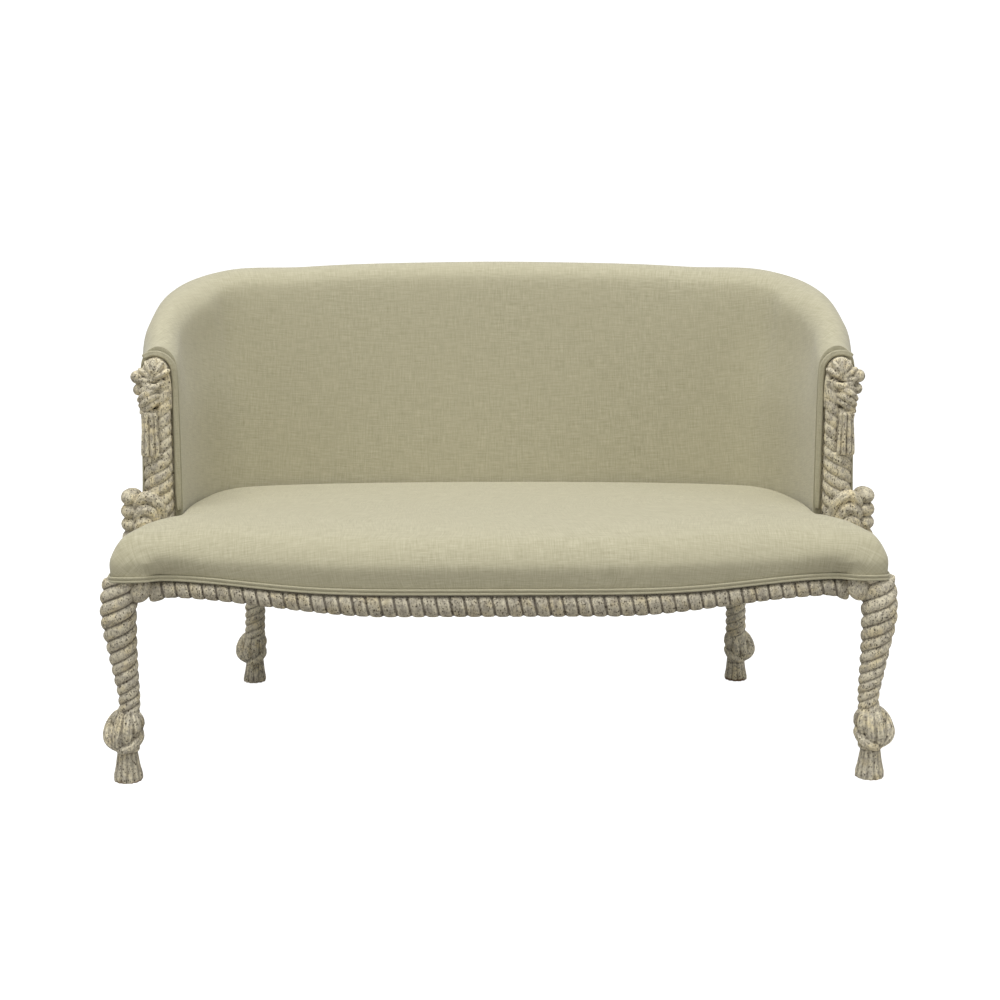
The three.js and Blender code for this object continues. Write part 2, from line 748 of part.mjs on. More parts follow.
const blockFoot = RAIL_TOP - CORNER_BLOCK_HEIGHT - SCREW_SPREAD;
const screwHeights = [blockFoot + CORNER_BLOCK_HEIGHT / 2 - SCREW_SPREAD / 2,
  blockFoot + CORNER_BLOCK_HEIGHT / 2 + SCREW_SPREAD / 2];

// The triangular block in a front corner, notched round the leg block.
function frontCornerBlock(side) {
  const innerX = LEG_BLOCK_INNER_X - TOUCH_GAP;
  const railBack = FRONT_RAIL_END_DEPTH + RAIL_THICKNESS + TOUCH_GAP;
  const railSide = RAIL_SIDE_X - RAIL_THICKNESS - TOUCH_GAP;
  const outline = [
    flatPoint(innerX - CORNER_BLOCK_SIZE, railBack),
    flatPoint(innerX, railBack),
    flatPoint(innerX, legBlockBack),
    flatPoint(railSide, legBlockBack),
    flatPoint(railSide, legBlockBack + CORNER_BLOCK_SIZE),
  ];
  const mirrored = outline.map((corner) => flatPoint(corner.x * side, corner.y));
  const middle = outline[0].clone().lerp(outline[4], 1 / 2);
  const along = outline[4].clone().sub(outline[0]).normalize();
  const heading = flatPoint(along.y * side, -along.x);
  const mouth = flatPoint(middle.x * side, middle.y);
  return {
    body: plate(mirrored, blockFoot, CORNER_BLOCK_HEIGHT),
    screws: screwHeights.map((height) => ({ mouth, heading, height })),
  };
}

const rearBlockFront = REAR_LEG_TOP_DEPTH - REAR_BLOCK_HALF_WIDTH;

function rearCornerBlock(side) {
  const back = rearBlockFront - TOUCH_GAP;
  const low = point(REAR_BLOCK_INNER_X, back - CORNER_BLOCK_SIZE / 2, blockFoot);
  const high = point(REAR_BLOCK_OUTER_X, back, blockFoot + CORNER_BLOCK_HEIGHT);
  const mouth = flatPoint(side * REAR_LEG_TOP_X, low.y);
  return {
    body: sideBlock(side, low, high),
    screws: screwHeights.map((height) => ({ mouth, heading: flatPoint(0, 1), height })),
  };
}

// The front leg's centre line and radius at each height, as shares of the ankle's inset and of
// the step from ankle to knee radius. It bends on the diagonal of the seat corner.
const FRONT_SHANK_SHARES = [[0, -1, 0], [0.4, -0.3, 0.33], [0.75, 0.2, 0.72]];

function frontLimb(side) {
  const shank = FRONT_SHANK_SHARES.map(([rise, shift, swell]) => [
    mix(FRONT_ANKLE_HEIGHT, FRONT_KNEE_HEIGHT, rise),
    FRONT_ANKLE_INSET * shift,
    mix(FRONT_ANKLE_RADIUS, FRONT_KNEE_RADIUS, swell),
  ]);
  const rows = [
    [0, 0, FRONT_TASSEL_RADIUS],
    [FRONT_TASSEL_HEIGHT, 0, FRONT_ANKLE_RADIUS],
    [FRONT_COLLAR_HEIGHT, -FRONT_ANKLE_INSET / 2, FRONT_ANKLE_RADIUS],
    ...shank,
    [FRONT_KNEE_HEIGHT, FRONT_KNEE_OUTSET, FRONT_KNEE_RADIUS],
    [mix(FRONT_KNEE_HEIGHT, MOULDING_END_TOP, 0.6), FRONT_KNEE_OUTSET / 2, FRONT_KNEE_RADIUS * 1.06],
    [MOULDING_END_TOP, -FRONT_ANKLE_INSET / 2, FRONT_KNEE_RADIUS * 1.06],
  ];
  return (height) => {
    const [outset, radius] = readTable(rows, height);
    const y = FRONT_FOOT_DEPTH * (1 - clampShare(height / FRONT_KNEE_HEIGHT)) - outset;
    return { x: side * (FRONT_FOOT_X + outset), y, radius };
  };
}

// The rounded outer corner of the leg block in plan, taken outwards by a distance.
const BLOCK_CORNER_SHARES = [[1, 0], [0.27, 0.27], [0, 1]];

function blockCorner(out) {
  const x = LEG_BLOCK_INNER_X + LEG_BLOCK_WIDTH + out;
  const y = LEG_BLOCK_FRONT_DEPTH - out;
  return BLOCK_CORNER_SHARES.map(([inward, back]) =>
    flatPoint(x - inward * LEG_BLOCK_ROUNDING, y + back * LEG_BLOCK_ROUNDING),
  );
}

function frontLegBlock(side) {
  const back = LEG_BLOCK_FRONT_DEPTH + LEG_BLOCK_DEPTH;
  const outline = [
    flatPoint(LEG_BLOCK_INNER_X, LEG_BLOCK_FRONT_DEPTH),
    ...blockCorner(0),
    flatPoint(LEG_BLOCK_INNER_X + LEG_BLOCK_WIDTH, back),
    flatPoint(LEG_BLOCK_INNER_X, back),
  ].map((corner) => flatPoint(corner.x * side, corner.y));
  const foot = MOULDING_END_BOTTOM + MOULDING_PROUD;
  return plate(outline, foot, RAIL_TOP - foot);
}

// The bracket eases the inner edge of the leg into the foot of the rail. Each row gives a share
// of its drop, its inner edge and its back as shares of the way to the middle of the leg.
const BRACKET_SHARES = [[0, 0, 1], [0.32, 0.04, 0.9], [0.6, 0.4, 0.75], [1, 0.75, 0.5]];

function kneeBracket(side) {
  const top = MOULDING_END_BOTTOM + MOULDING_PROUD * 2;
  const rings = BRACKET_SHARES.map(([fall, inward, back]) => {
    const height = top - BRACKET_DROP * fall;
    const inner = side * mix(LEG_BLOCK_INNER_X, FRONT_FOOT_X, inward);
    const outer = side * FRONT_FOOT_X;
    const rear = mix(-BRACKET_HALF_DEPTH, BRACKET_HALF_DEPTH, back);
    return [
      point(inner, -BRACKET_HALF_DEPTH, height),
      point(outer, -BRACKET_HALF_DEPTH, height),
      point(outer, rear, height),
      point(inner, rear, height),
    ];
  });
  return loft(rings);
}

// The knot at the ankle: a wrap that tilts, bands that run up the front and back over it, a
// smaller turn below and a collar where the rope enters.
function frontKnot(limb) {
  const low = limb(FRONT_KNOT_HEIGHT);
  const high = limb(FRONT_COLLAR_HEIGHT);
  const heart = point(low.x, low.y, FRONT_KNOT_HEIGHT);
  const collar = point(high.x, high.y, FRONT_COLLAR_HEIGHT);
  const cord = FRONT_KNOT_RADIUS * 0.36;
  const spread = FRONT_KNOT_RADIUS * 0.26;
  const band = heart.clone().add(point(spread, 0, cord * 0.6));
  const foot = heart.clone().add(point(0, 0, -cord * 1.5));
  return [
    bulb(heart, FRONT_KNOT_RADIUS * 0.8, FRONT_KNOT_RADIUS),
    wrap(heart, FRONT_KNOT_RADIUS, cord, degrees(16)),
    wrap(band, FRONT_KNOT_RADIUS, cord * 0.8, degrees(-9), 0, true),
    wrap(foot, FRONT_KNOT_RADIUS * 0.74, cord * 0.7, degrees(-12)),
    wrap(collar, FRONT_COLLAR_RADIUS, cord * 0.85, degrees(-10)),
  ];
}

function frontLeg(side, screws) {
  const limb = frontLimb(side);
  const skirt = fluted(limb, [
    [0, FRONT_TASSEL_RADIUS],
    [FRONT_TASSEL_HEIGHT * 0.15, FRONT_TASSEL_RADIUS],
    [FRONT_TASSEL_HEIGHT * 0.6, mix(FRONT_TASSEL_RADIUS, FRONT_ANKLE_RADIUS, 0.7)],
    [FRONT_TASSEL_HEIGHT * 1.25, FRONT_ANKLE_RADIUS],
  ]);
  const shank = carvedRope(limb, FRONT_COLLAR_HEIGHT, MOULDING_END_TOP, 1);
  const whole = join([skirt, ...frontKnot(limb), shank, frontLegBlock(side),
    kneeBracket(side)]);
  return cut(whole, screws.map(bore));
}

// The rear leg leans inward and forward as it rises to its block.
function rearLimb(side) {
  return (height) => {
    const share = clampShare(height / MOULDING_END_BOTTOM);
    const eased = 1 - (1 - share) ** 1.6;
    return {
      x: side * mix(REAR_FOOT_X, REAR_LEG_TOP_X, eased),
      y: mix(REAR_FOOT_DEPTH, REAR_LEG_TOP_DEPTH, eased),
      radius: REAR_ROPE_RADIUS,
    };
  };
}

// The rear leg's block fills the rail's corner between the back rail and a side rail.
function rearLegBlock(side) {
  const [outer, inner] = [POST_STATION, POST_STATION + 1].map((index) => halfStations[index].spot);
  const outline = [
    flatPoint(REAR_BLOCK_INNER_X, rearBlockFront),
    flatPoint(REAR_BLOCK_OUTER_X, rearBlockFront),
    flatPoint(REAR_BLOCK_OUTER_X, outer.y),
    flatPoint(REAR_BLOCK_INNER_X, inner.y),
  ].map((corner) => flatPoint(corner.x * side, corner.y));
  return plate(outline, MOULDING_END_BOTTOM, RAIL_TOP - MOULDING_END_BOTTOM);
}

function rearKnot(limb) {
  const { x, y } = limb(REAR_KNOT_HEIGHT);
  const heart = point(x, y, REAR_KNOT_HEIGHT);
  const cord = REAR_KNOT_RADIUS * 0.36;
  const foot = heart.clone().add(point(0, 0, -cord * 1.7));
  return [
    bulb(heart, REAR_KNOT_RADIUS * 0.84, REAR_KNOT_RADIUS * 0.9),
    wrap(heart, REAR_KNOT_RADIUS, cord, degrees(-14)),
    wrap(heart, REAR_KNOT_RADIUS * 0.98, cord, degrees(8), 0, true),
    wrap(foot, REAR_KNOT_RADIUS * 0.74, cord * 0.7, degrees(8)),
  ];
}

function rearLeg(side, screws) {
  const limb = rearLimb(side);
  const skirt = fluted(limb, [
    [0, REAR_TASSEL_RADIUS],
    [REAR_TASSEL_HEIGHT * 0.2, REAR_TASSEL_RADIUS],
    [REAR_TASSEL_HEIGHT * 1.25, REAR_ROPE_RADIUS * 0.95],
  ]);
  const shank = carvedRope(limb, REAR_ROPE_START, MOULDING_END_BOTTOM + MOULDING_PROUD, 1);
  const whole = join([skirt, ...rearKnot(limb), shank, rearLegBlock(side)]);
  return cut(whole, screws.map(bore));
}

// The arm post's stile: a plank with a round head, lapped inside the side rail. It can be grown
// by a clearance to cut the padding round it.
const postMiddle = POST_INNER_X + POST_WIDTH / 2;
const armPostTop = RAIL_TOP + POST_RISE;
const knobHeight = armPostTop - POST_KNOB_DROP;
const postKnotHeight = armPostTop - POST_KNOT_DROP;
const tasselTop = armPostTop - POST_TASSEL_DROP;
const tasselFoot = tasselTop - POST_TASSEL_LENGTH;
const DOME_STEPS = 8;

function postStile(side, grow = 0) {
  const half = POST_WIDTH / 2;
  const domeFoot = armPostTop - half;
  const outline = [flatPoint(half + grow, RAIL_TOP + TOUCH_GAP - grow)];
  for (const step of counting(DOME_STEPS + 1)) {
    const angle = turn(step / DOME_STEPS / 2);
    const radius = half + grow;
    outline.push(flatPoint(radius * Math.cos(angle), domeFoot + radius * Math.sin(angle)));
  }
  outline.push(flatPoint(-half - grow, RAIL_TOP + TOUCH_GAP - grow));
  const shape = new THREE.Shape(outline);
  const depth = POST_DEPTH + grow * 2;
  const board = new THREE.ExtrudeGeometry(shape, { depth, bevelEnabled: false });
  board.rotateX(turn(1 / 4));
  return board.translate(side * postMiddle, POST_FRONT_DEPTH + POST_DEPTH + grow, 0);
}

function postLap(side) {
  const low = point(POST_INNER_X, POST_FRONT_DEPTH, RAIL_TOP - POST_LAP);
  const inside = RAIL_SIDE_X - RAIL_THICKNESS - TOUCH_GAP;
  return sideBlock(side, low, point(inside, POST_FRONT_DEPTH + POST_DEPTH, RAIL_TOP + POST_DEPTH));
}

// The rope on the post: full width below the tassel, then thinner and set to the inside behind it.
function postRopeLimb(side) {
  const rows = [
    [RAIL_TOP, 0, POST_ROPE_RADIUS],
    [tasselFoot, 0, POST_ROPE_RADIUS * 0.98],
    [tasselFoot + STRAND_RISE, -POST_ROPE_RADIUS * 0.36, POST_ROPE_RADIUS * 0.64],
    [armPostTop, -POST_ROPE_RADIUS * 0.36, POST_ROPE_RADIUS * 0.6],
  ];
  return (height) => {
    const [outset, radius] = readTable(rows, height);
    return { x: side * (postMiddle + outset), y: POST_ROPE_DEPTH, radius };
  };
}

const POST_SQUASH_SHARE = 0.85;

function postTassel(side) {
  const limb = () => ({ x: side * (postMiddle + POST_ROPE_RADIUS * 0.42), y: POST_ROPE_DEPTH });
  const radius = POST_ROPE_RADIUS * 0.6;
  const rows = [[tasselFoot, radius], [tasselTop, radius * 0.86]];
  return fluted(limb, rows, TASSEL_FLUTES, 1.35);
}

function postKnot(side) {
  const heart = point(side * (postMiddle + POST_KNOT_RADIUS * 0.2), POST_ROPE_DEPTH, postKnotHeight);
  const cord = POST_KNOT_RADIUS * 0.34;
  return [
    bulb(heart, POST_KNOT_RADIUS * 0.9, POST_KNOT_RADIUS),
    wrap(heart, POST_KNOT_RADIUS, cord, degrees(18 * side)),
    wrap(heart, POST_KNOT_RADIUS, cord, degrees(-12 * side), 0, true),
  ];
}

// The gathered head of the post and the rope's end that turns out beside it.
function postHead(side) {
  const centre = () => ({ x: side * postMiddle, y: POST_ROPE_DEPTH });
  const wide = POST_WIDTH / 2;
  const gather = fluted(centre, [
    [postKnotHeight + POST_KNOT_RADIUS * 0.7, wide * 0.62],
    [knobHeight, wide * 0.98],
    [mix(knobHeight, armPostTop, 0.6), wide * 0.86],
    [armPostTop - TOUCH_GAP, wide * 0.3],
  ], TASSEL_FLUTES, POST_SQUASH_SHARE);
  const knobX = side * (postMiddle + wide);
  const knobDepth = POST_ROPE_DEPTH - POST_KNOB_RADIUS / 2;
  const knob = point(knobX, knobDepth, knobHeight);
  const under = point(knobX, knobDepth, knobHeight - POST_KNOB_RADIUS * 1.1);
  return [gather, bulb(knob, POST_KNOB_RADIUS, POST_KNOB_RADIUS),
    bulb(under, POST_KNOB_RADIUS * 0.8, POST_KNOB_RADIUS * 0.8)];
}

// The rope turns outwards at the foot of the post in three stacked bends.
const BASE_BEND_SHARES = [[0.17, 1], [0.5, 1], [0.82, 0.95]];

function postBase(side) {
  const half = POST_BASE_RISE * 0.18;
  return BASE_BEND_SHARES.map(([rise, reach]) => {
    const radius = POST_BASE_REACH * reach;
    const x = side * (postMiddle + POST_ROPE_RADIUS * 0.9 + POST_BASE_REACH * (reach - 1));
    const centre = point(x, POST_ROPE_DEPTH, RAIL_TOP + POST_BASE_RISE * rise);
    const depthShare = (POST_ROPE_DEPTH - SEAT_SIDE_END - TOUCH_GAP * 4) / radius;
    return pad(centre, radius, half, depthShare);
  });
}

function armPost(side) {
  const rope = postRopeLimb(side);
  const lower = carvedRope(rope, RAIL_TOP + TOUCH_GAP * 3, tasselFoot + STRAND_RISE * 0.3, -side,
    POST_SQUASH_SHARE);
  const upper = carvedRope(rope, tasselFoot, knobHeight, -side, 1);
  const carving = join([lower, upper, postTassel(side), ...postKnot(side), ...postHead(side),
    ...postBase(side)]);
  const reach = POST_WIDTH * 2;
  const behind = WALL_FRONT_DEPTH - FABRIC - TOUCH_GAP;
  const limit = sideBlock(
    side,
    point(POST_INNER_X, SEAT_SIDE_END + TOUCH_GAP, RAIL_TOP + TOUCH_GAP),
    point(POST_INNER_X + reach, behind, armPostTop),
  );
  return join([keepInside(carving, limit), postStile(side), postLap(side)]);
}

// A double cord: the section is two round cords side by side, laid across the path.
const CORD_POINTS = 4;

function doubleCordRing(centre, across, up) {
  const ring = [];
  for (const [cord, start] of [[1, -0.42], [-1, 0.08]]) {
    for (const index of counting(CORD_POINTS)) {
      const angle = turn(start * cord + (index / (CORD_POINTS - 1)) * 0.84);
      const radius = WELT_CORD / 2;
      const sideways = radius * (cord + Math.cos(angle));
      ring.push(centre.clone().addScaledVector(across, sideways)
        .addScaledVector(up, radius * Math.sin(angle)));
    }
  }
  return ring;
}

// The welt beside and over an arm post.
const WELT_ARC_STEPS = 6;
const WELT_ARC_END_SHARE = 0.72;

function armWelt(side) {
  const radius = POST_WIDTH / 2 + WELT_CORD + TOUCH_GAP * 3;
  const domeFoot = armPostTop - POST_WIDTH / 2;
  const depth = WALL_FRONT_DEPTH - FABRIC - TOUCH_GAP * 2 - WELT_CORD / 2;
  const foot = SEAT_CROWN_HEIGHT - WELT_CORD;
  const path = counting(3).map((step) => ({ turned: 0, height: mix(foot, domeFoot, step / 3) }));
  for (const step of counting(WELT_ARC_STEPS + 1)) {
    path.push({ turned: turn((step / WELT_ARC_STEPS) * WELT_ARC_END_SHARE) / 2, height: domeFoot });
  }
  const rings = path.map(({ turned, height }) => {
    const across = point(-side * Math.cos(turned), 0, Math.sin(turned));
    const centre = point(side * postMiddle, depth, height).addScaledVector(across, radius);
    return doubleCordRing(centre, across, point(0, 1, 0));
  });
  return loft(rings, true);
}

// The plan of the seat's edge outside the tacking faces, from the middle of the front to the
// middle of the back on the right side. An entry whose rows stay
// within its rail carries inside, and ease moves the foot of its skirt.
function seatEdge() {
  const out = FABRIC + TOUCH_GAP;
  const front = frontStations.map((x) => ({ x, y: frontDepth(x) - out, inside: 0 }));
  front[front.length - 1].ease = [0, -SKIRT_STEP_EASE];
  const blockFront = LEG_BLOCK_FRONT_DEPTH - out;
  const blockSide = LEG_BLOCK_INNER_X + LEG_BLOCK_WIDTH + out;
  const railSide = RAIL_SIDE_X + out;
  const corner = [
    [LEG_BLOCK_INNER_X - out, blockFront],
    ...blockCorner(out).map(({ x, y }) => [x, y]),
    [blockSide, legBlockBack + out],
    [railSide, legBlockBack + out + SKIRT_CORNER],
  ].map(([x, y]) => ({ x, y, inside: 0 }));
  corner[0].ease = [SKIRT_STEP_EASE, 0];
  return [...front, ...corner];
}

function mirrorSpot(spot) {
  const [easeX, easeY] = spot.ease ?? [0, 0];
  return { ...spot, x: -spot.x, ease: [-easeX, easeY] };
}

function mirrorLoop(half) {
  const right = half.filter((spot) => spot.x > 0);
  const middleFront = half.filter((spot) => spot.x === 0 && spot.inside === 0);
  const middleBack = half.filter((spot) => spot.x === 0 && spot.inside === 1);
  const left = right.map(mirrorSpot).toReversed();
  return [...middleFront, ...right, ...middleBack, ...left];
}

const SEAT_STATIONS = [0, 2, 4, 5, 6, 7, 8, 9, 11, 13];

function seatPlan() {
  const railSide = RAIL_SIDE_X + FABRIC + TOUCH_GAP;
  const innerSide = INNER_HALF_WIDTH - TOUCH_GAP;
  const side = [
    { x: railSide, y: SEAT_SIDE_END - SKIRT_CORNER / 2, inside: 0 },
    { x: railSide, y: SEAT_SIDE_END, inside: 0, foot: WALL_FOOT },
    { x: innerSide, y: SEAT_SIDE_END, inside: 1 },
  ];
  const back = SEAT_STATIONS.map((index) => {
    const spot = wallPoint(halfStations[index], -TOUCH_GAP, RAIL_TOP);
    return { x: index === SEAT_STATIONS[SEAT_STATIONS.length - 1] ? 0 : spot.x, y: spot.y, inside: 1 };
  });
  return mirrorLoop([...seatEdge(), ...side, ...back]);
}

// The seat's crowned form. Each row is [share of the edge's own run, share of the rest of the
// way to the flat middle, share of the rise]; one table for the edge over the rails and one for
// the edge against the arms and back.
const SEAT_FRONT_SHARES = [
  [0, 0, 0], [0.12, 0, 0.2], [0.25, 0, 0.44], [0.44, 0, 0.64], [0.72, 0, 0.81],
  [1, 0.1, 0.91], [1, 0.7, 0.985],
];
const SEAT_INSIDE_SHARES = [
  [0, 0, 0.16], [0, 0, 0.4], [0, 0, 0.65], [0.03, 0, 0.84], [0.13, 0, 0.92],
  [0.53, 0, 0.96], [1, 0.55, 0.985],
];
const ALL_SEAT_ROWS = counting(SEAT_FRONT_SHARES.length);
const HIDDEN_SEAT_ROWS = [0, 1, 3, 5, 6];
const EASED_ROWS = 3;
const seatTurn = RAIL_TOP + FABRIC + TOUCH_GAP * 2;

function edgeNormals(plan) {
  return plan.map((spot, index) => {
    const before = plan[(index + plan.length - 1) % plan.length];
    const after = plan[(index + 1) % plan.length];
    const first = flatPoint(spot.y - before.y, before.x - spot.x).normalize();
    const second = flatPoint(after.y - spot.y, spot.x - after.x).normalize();
    const inward = first.clone().add(second).normalize();
    return inward.multiplyScalar(-1 / Math.max(1 / 2, inward.dot(first)));
  });
}

function seatRow(plan, normals, row, inset) {
  const { clamp } = THREE.MathUtils;
  return plan.map((spot, index) => {
    const table = spot.inside ? SEAT_INSIDE_SHARES : SEAT_FRONT_SHARES;
    const [edgeShare, wayShare, riseShare] = table[row];
    const half = spot.inside ? SEAT_MIDDLE_INSIDE_HALF : SEAT_MIDDLE_HALF;
    const middle = flatPoint(
      clamp(spot.x, -half, half),
      clamp(spot.y, SEAT_MIDDLE_FRONT, SEAT_MIDDLE_BACK),
    );
    const [easeX, easeY] = spot.ease ?? [0, 0];
    const eased = clampShare(row / EASED_ROWS);
    const start = flatPoint(spot.x + easeX * eased, spot.y + easeY * eased);
    const rest = start.distanceTo(middle) - SEAT_EDGE_RUN;
    const home = middle.sub(start).normalize();
    start.addScaledVector(home, edgeShare * SEAT_EDGE_RUN + wayShare * rest);
    start.addScaledVector(normals[index], inset);
    return point(start.x, start.y, mix(seatTurn, SEAT_CROWN_HEIGHT, riseShare) - inset);
  });
}

function seatForm(inset, footAt, rows = ALL_SEAT_ROWS) {
  const plan = seatPlan();
  const normals = edgeNormals(plan);
  const foot = seatRow(plan, normals, rows[0], inset);
  foot.forEach((corner, index) => corner.setZ(footAt(plan[index])));
  return loft([foot, ...rows.map((row) => seatRow(plan, normals, row, inset))]);
}

function seatCover() {
  const footAt = (spot) => {
    if (spot.inside) return WALL_FOOT;
    return spot.foot ?? mouldingHeights(spot.x).top + TOUCH_GAP * 3;
  };
  const under = () => MOULDING_END_BOTTOM - MOULDING_BOTTOM_DIP;
  const railTops = HANDS.map(([side]) =>
    sideBlock(
      side,
      point(RAIL_SIDE_X - RAIL_THICKNESS - TOUCH_GAP, legBlockBack, MOULDING_END_BOTTOM),
      point(RAIL_SIDE_X + TOUCH_GAP, SEAT_SIDE_END + FABRIC, RAIL_TOP + TOUCH_GAP),
    ),
  );
  return cut(seatForm(0, footAt), [seatForm(FABRIC, under, HIDDEN_SEAT_ROWS), ...railTops]);
}

const seatFoam = () =>
  seatForm(FABRIC + TOUCH_GAP, fixed(foamFoot), HIDDEN_SEAT_ROWS.slice(1));

const burlapFoot = RAIL_TOP + (WEBBING + TOUCH_GAP) * 2 + TOUCH_GAP;
const foamFoot = burlapFoot + BURLAP + TOUCH_GAP;

function seatBurlap() {
  const plan = seatPlan();
  const normals = edgeNormals(plan);
  const inset = FABRIC * 3 + TOUCH_GAP;
  const level = (height) => plan.map((spot, index) => {
    const corner = flatPoint(spot.x, spot.y).addScaledVector(normals[index], inset);
    return point(corner.x, corner.y, height);
  });
  return loft([level(burlapFoot), level(burlapFoot + BURLAP)]);
}

// Webbing: straight straps from front to back, and cross straps woven over and under them.
const STRAP_XS_SHARES = [-0.72, -0.36, 0, 0.36, 0.72];
const CROSS_DEPTH_SHARES = [0.17, 0.44, 0.71];
const strapFoot = RAIL_TOP + TOUCH_GAP;
const strapInset = RAIL_THICKNESS / 3;

function strapRing(spot, half, along, height) {
  const wide = along === "y" ? point(half, 0, 0) : point(0, half, 0);
  const low = point(spot.x, spot.y, height);
  const high = point(spot.x, spot.y, height + WEBBING);
  return [low.clone().sub(wide), low.clone().add(wide), high.clone().add(wide), high.clone().sub(wide)];
}

function longStrap(x) {
  const start = frontDepth(Math.abs(x) + WEBBING_WIDTH / 2) + strapInset;
  const end = RAIL_BACK_DEPTH - RAIL_THICKNESS / 2;
  const rings = [start, end].map((y) => strapRing(flatPoint(x, y), WEBBING_WIDTH / 2, "y", strapFoot));
  return loft(rings);
}

function crossStrap(y, phase) {
  const rise = WEBBING + TOUCH_GAP;
  const reach = RAIL_SIDE_X - strapInset * 2;
  const rings = [strapRing(flatPoint(-reach, y), WEBBING_WIDTH / 2, "x", strapFoot)];
  STRAP_XS_SHARES.forEach((share, index) => {
    const x = share * INNER_HALF_WIDTH;
    const height = strapFoot + rise * ((index + phase) % 2 ? 1 : -1);
    const half = (WEBBING_WIDTH / 2) * 1.2;
    rings.push(strapRing(flatPoint(x - half, y), WEBBING_WIDTH / 2, "x", height));
    rings.push(strapRing(flatPoint(x + half, y), WEBBING_WIDTH / 2, "x", height));
  });
  rings.push(strapRing(flatPoint(reach, y), WEBBING_WIDTH / 2, "x", strapFoot));
  return loft(rings);
}

// Padding and covers of the curved wall.
const HIDDEN_ROLL_STEPS = 3;

function wallFoam() {
  const inset = FABRIC + TOUCH_GAP;
  const rings = wallStations.map((station) => {
    const outline = paddedOutline(station, inset, HIDDEN_ROLL_STEPS);
    const shoulder = wallPoint(station, foamOuter(station), wallTop(station) - ROLL_HEIGHT);
    const back = layerHeights(station).map((height) =>
      wallPoint(station, foamOuter(station), height),
    );
    return [...outline, shoulder, ...back];
  });
  const hook = loft(trimEnds(rings, FABRIC / 2, FABRIC / 2));
  return cut(join([hook, ...HANDS.map(([side]) => armPlug(side, inset, FABRIC / 2, TOUCH_GAP))]),
    HANDS.map(([side]) => postStile(side, TOUCH_GAP)));
}

function backBurlap() {
  const end = wallStations.length - STATION_COUNTS[0];
  const rings = wallStations.slice(STATION_COUNTS[0], end).map((station) => {
    const side = (out) => layerHeights(station).map((height) => wallPoint(station, out, height));
    return [...side(burlapOuter(station)), ...side(burlapInner(station)).toReversed()];
  });
  return loft(trimEnds(rings, TOUCH_GAP / 2, TOUCH_GAP / 2));
}

// The padding's full section at the front end of an arm, between two depths.
function armSection(side, inset, y, steps = ROLL_STEPS) {
  const station = side > 0 ? halfStations[0] : wallStations[0];
  const outline = paddedOutline(station, inset, steps);
  const outer = [RAIL_TOP + ARM_TUCK_RUN, WALL_FOOT].map((height) =>
    wallPoint(station, station.thickness - inset, height),
  );
  return [...outline, ...outer].map((corner) => point(corner.x, y, corner.z));
}

function armPlug(side, inset, startTrim, endTrim) {
  const start = WALL_FRONT_DEPTH + startTrim;
  const end = POST_FRONT_DEPTH + POST_DEPTH + TOUCH_GAP - endTrim;
  return loft([start, end].map((y) => armSection(side, inset, y, HIDDEN_ROLL_STEPS)));
}

function insideCover() {
  const rings = wallStations.map((station) => [
    ...paddedOutline(station, 0),
    ...paddedOutline(station, FABRIC, HIDDEN_ROLL_STEPS).toReversed(),
  ]);
  const front = HANDS.map(([side]) => {
    const depths = [WALL_FRONT_DEPTH - FABRIC, WALL_FRONT_DEPTH + TOUCH_GAP];
    return loft(depths.map((y) => armSection(side, 0, y)));
  });
  return cut(join([loft(rings), ...front]), HANDS.map(([side]) => postStile(side, TOUCH_GAP)));
}

function outsideCover() {
  const rings = wallStations.map((station) => {
    const foot = MOULDING_END_TOP + TOUCH_GAP * 3;
    const seam = wallTop(station) - ROLL_HEIGHT - TOUCH_GAP;
    const heights = [foot, RAIL_TOP, RAIL_TOP + ARM_TUCK_RUN, seam];
    const outer = heights.map((height) => wallPoint(station, station.thickness, height));
    const inner = heights.map((height) => wallPoint(station, station.thickness - FABRIC, height));
    return [...outer, ...inner.toReversed()];
  });
  return loft(trimEnds(rings, TOUCH_GAP * 3, TOUCH_GAP * 3));
}

// The double welt under the covers, all round the seat rails.
function seatWelt() {
  const out = WELT_CORD / 2 + TOUCH_GAP;
  const side = [
    { x: RAIL_SIDE_X + FABRIC + TOUCH_GAP, y: SEAT_SIDE_END, inside: 0 },
  ];
  const back = halfStations.map((station, index) => {
    const spot = wallPoint(station, station.thickness, MOULDING_END_TOP);
    const middle = index === halfStations.length - 1;
    return { x: middle ? 0 : spot.x, y: spot.y, inside: 1 };
  });
  const plan = mirrorLoop([...seatEdge(), ...side, ...back]);
  const normals = edgeNormals(plan);
  const rings = plan.map((spot, index) => {
    const height = mouldingHeights(spot.inside ? LEG_BLOCK_INNER_X : spot.x).top;
    const outward = point(-normals[index].x, -normals[index].y, 0);
    const centre = point(spot.x, spot.y, height + WELT_CORD + TOUCH_GAP);
    return doubleCordRing(centre.addScaledVector(outward, out), point(0, 0, 1), outward.normalize());
  });
  return loop(rings);
}

// The dust cover under the rails: a sheet that runs lower in the middle. Its front edge follows
// the front rail, and its other edges are shares of the way across and back.
const DUST_REST_SHARES = [
  [0.93, 0.2], [0.95, 0.24], [0.95, 0.64], [0.9, 0.8], [0.82, 0.86], [0.69, 0.87], [0.685, 0.95],
  [0.35, 0.965], [0, 0.965],
];
const DUST_SAG_SHARE = 0.6;

function dustOutline() {
  const front = frontStations.map((x) => {
    return { x, y: frontDepth(x) + RAIL_THICKNESS * 0.8, inside: 0 };
  });
  const rest = DUST_REST_SHARES.map(([across, back]) => {
    return { x: across * RAIL_SIDE_X, y: mix(frontDepth(0), RAIL_BACK_DEPTH, back), inside: 1 };
  });
  return mirrorLoop([...front, ...rest]);
}

